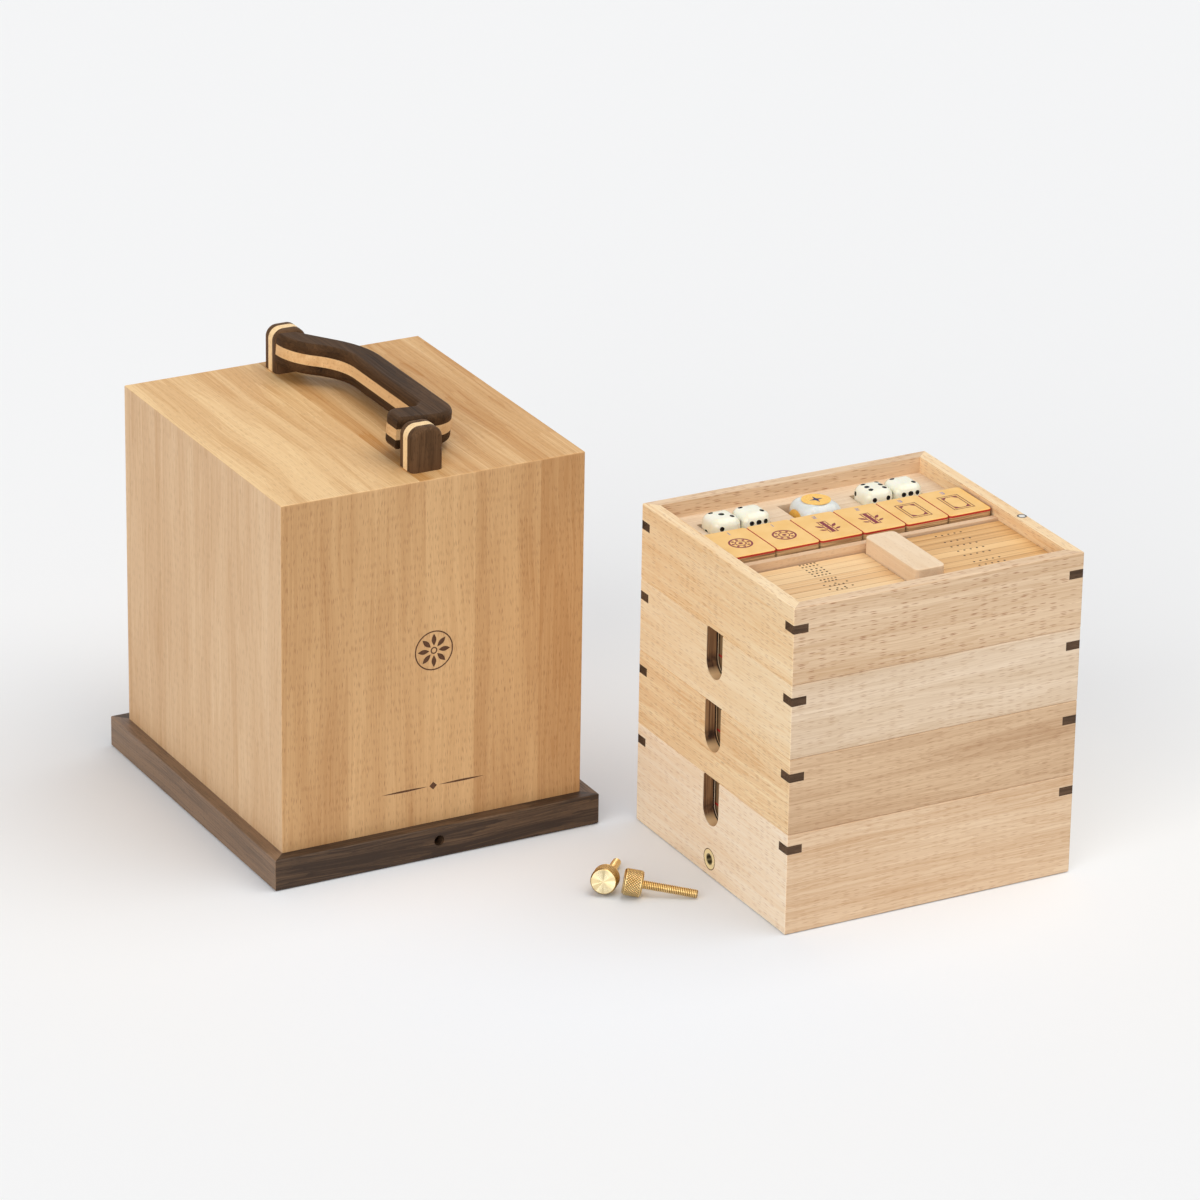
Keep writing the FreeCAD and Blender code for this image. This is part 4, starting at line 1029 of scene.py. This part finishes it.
# Four-pointed compass star made of kites.
def starMark(points, long, short):
    kites = []
    for k in range(points):
        turn = 2 * math.pi * k / points + math.pi / 2
        step = math.pi / points
        kites.append([(0, 0), (short * math.cos(turn - step), short * math.sin(turn - step)),
                      (long * math.cos(turn), long * math.sin(turn)),
                      (short * math.cos(turn + step), short * math.sin(turn + step))])
    return kites


def makeWindDie():
    dress(boneMaterial("wind_die_bone", windDie["light"], windDie["dark"], 0.004), "wind_die")
    gold = ink("wind_gold", windDie["gold"], 0.35)
    low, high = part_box("wind_die")
    middle, half = (low + high) / 2, (high.x - low.x) / 2
    for side, (outward, right) in dieSides.items():
        outward, right = Vector(outward), Vector(right)
        up = outward.cross(right)
        origin = middle + outward * (half - windDie["sunk"] * mm)
        thick = windDie["sunk"] + windDie["proud"]
        place = dict(right=right, up=up, body="wind_die", slot="wind_die_white")
        disc, star = circle(0, 0, windDie["disc"], 48), starMark(4, windDie["star"], windDie["starWaist"])
        markPiece(f"wind_disc_{side}", [disc], thick, origin, material=gold, **place)
        markPiece(f"wind_star_{side}", star, windDie["starThick"], origin + outward * thick * mm,
                  material=inks["navy"], **place)


makeWindDie()
print("wind die made")


# counting sticks: thin strips with groups of burned dots

sticks = {"pitchBack": 8.05, "rise": 4.25, "before": 0.07, "gap": 0.075, "below": 0.02,
          "fibre": (70.0, 0.9, 0.9), "seedStep": 40.0,
          # edge is the colour of the painted shade in the crease between strips
          "edge": paint(150, 100, 58), "creaseShadeWide": 0.55, "creaseShadePull": (0.25, 0.75),
          "left_sticks": (paint(246, 212, 162), paint(222, 174, 118)),
          "right_sticks": (paint(243, 200, 140), paint(206, 154, 92)), "dot": 0.78, "dotHigh": 0.03,
          # rows of dots on the left bundle: distance from the tray's front, first and last, and how many
          "leftRows": [(88.5, 55.5, 66.5, 5), (84.8, 55.5, 66.5, 5), (79.6, 55.5, 66.5, 4),
                       (76.1, 55.5, 66.5, 5), (72.5, 55.5, 66.5, 4), (68.8, 55.5, 66.5, 5),
                       (61.5, 55.5, 66.5, 5), (58.0, 57.0, 65.0, 4), (53.0, 53.0, 70.0, 3),
                       (50.5, 56.0, 66.0, 4), (45.5, 53.0, 70.0, 4), (43.0, 57.0, 64.0, 3)],
          "rightRows": [(v, 155.3, 174.3, 5) for v in (83.8, 72.4, 64.1, 55.8, 47.8, 35.9, 29.3)]}


# Every strip takes its own tone from its row and layer, and painted shade darkens it towards its long edges,
# where it meets the next strip.
def stickMaterial(name, body):
    low = inMillimetres(body)[0]
    material, tree = startMaterial(name)
    place = millimetres(tree)
    row, fromMiddle = inRow(tree, place[1], low.y - sticks["before"], sticks["pitchBack"])
    border = 0.5 - sticks["gap"] / sticks["pitchBack"]
    creaseShade = fade(tree, fromMiddle, border - sticks["creaseShadeWide"] / sticks["pitchBack"], border)
    layer = inRow(tree, place[2], low.z - sticks["below"], sticks["rise"])[0]
    own = wire(tree, "CombineXYZ", {0: row, 1: layer, 2: low.x}).outputs[0]
    tone = wire(tree, "TexWhiteNoise", {0: own}, noise_dimensions="3D").outputs["Value"]
    fibre = noise(tree, stretched(tree, *place, sticks["fibre"]),
                  reckon(tree, "MULTIPLY", tone, sticks["seedStep"]), detail=3.0)
    mixed = reckon(tree, "ADD", fade(tree, fibre, 0.3, 0.7, -0.3, 0.4),
                   fade(tree, tone, 0.0, 1.0, 0.05, 0.65), clamp=True)
    colour = blend(tree, mixed, *sticks[body])
    creaseShade = reckon(tree, "MULTIPLY", creaseShade, fade(tree, tone, 0.0, 1.0, *sticks["creaseShadePull"]))
    colour = blend(tree, creaseShade, colour, sticks["edge"])
    return finished(material, tree, {"Base Color": colour, "Roughness": 0.45, "Specular IOR Level": 0.4,
                                     "Normal": bumpOf(tree, fibre, 0.1, 0.0001)})


def makeStickDots():
    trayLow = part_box("top_tray_left_wall")[0]
    for body, rows in (("left_sticks", sticks["leftRows"]), ("right_sticks", sticks["rightRows"])):
        dress(stickMaterial(f"{body}_wood", body), body)
        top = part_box(body)[1].z
        dots = []
        for back, first, last, count in rows:
            for step in range(count):
                dots.append(circle(first + (last - first) * step / (count - 1), back, sticks["dot"], 10))
        markPiece(f"{body}_dots", dots, sticks["dotHigh"], (trayLow.x, trayLow.y, top), (1, 0, 0), (0, 1, 0),
                  inks["dots"], body, "stick")


makeStickDots()
print("sticks marked")


insertShadeRing = {"radii": (7.5, 6.9), "thick": 0.03}


# Painted shade: a dark ring on the wood round the flange of each insert, where shade falls at its edge.
def makeInsertShadeRings():
    low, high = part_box("threaded_inserts")
    middle, rise = (low.y + high.y) / 2, (low.z + high.z) / 2
    ring = ringStrips(0, 0, *insertShadeRing["radii"], 32)
    for side, x, right in (("left", low.x, (0, -1, 0)), ("right", high.x, (0, 1, 0))):
        markPiece(f"{side}_insert_shade_ring", ring, insertShadeRing["thick"], (x, middle, rise), right, (0, 0, 1),
                  inks["shadow"], "bottom_tray", "tray_maple")


makeInsertShadeRings()
print("insert edges made")


# burned ornament on the cover's front: a plain rosette, and a rule with a lozenge below it

ornament = {"rosetteAt": 145.0, "ruleAt": 48.0, "ruleWide": 78.0, "ruleThick": 1.4, "petals": 8,
            "petal": (8.4, 3.4), "petalAt": 3.4, "radius": 14.0, "line": 0.9, "centre": (2.5, 1.6),
            "lozenge": 2.8, "ruleFrom": 4.0, "ruleShort": 5.0, "thick": 0.05}


def makeOrnament():
    low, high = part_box("hood_front_panel")
    middle = (low.x + high.x) / 2
    rosette = []
    for k in range(ornament["petals"]):
        turn = 2 * math.pi * k / ornament["petals"]
        away = ornament["petalAt"]
        rosette.append(petal(away * math.cos(turn), away * math.sin(turn), *ornament["petal"], turn))
    rosette += ringStrips(0, 0, ornament["radius"], ornament["radius"] - ornament["line"], 48)
    rosette += ringStrips(0, 0, *ornament["centre"], 20)
    place = dict(right=(1, 0, 0), up=(0, 0, 1), material=inks["burn"], body="hood", slot="cover_beech",
                 thickness=ornament["thick"])
    markPiece("cover_rosette", rosette, origin=(middle, low.y, ornament["rosetteAt"] * mm), **place)
    reach, thick = ornament["ruleWide"] / 2 - ornament["ruleShort"], ornament["ruleThick"]
    start, half = ornament["ruleFrom"], ornament["lozenge"]
    rule = [petal(-start, 0, reach, thick, math.pi), petal(start, 0, reach, thick, 0.0),
            [(-half, 0), (0, -half), (half, 0), (0, half)]]
    markPiece("cover_rule", rule, origin=(middle, low.y, ornament["ruleAt"] * mm), **place)


makeOrnament()
print("ornament made")
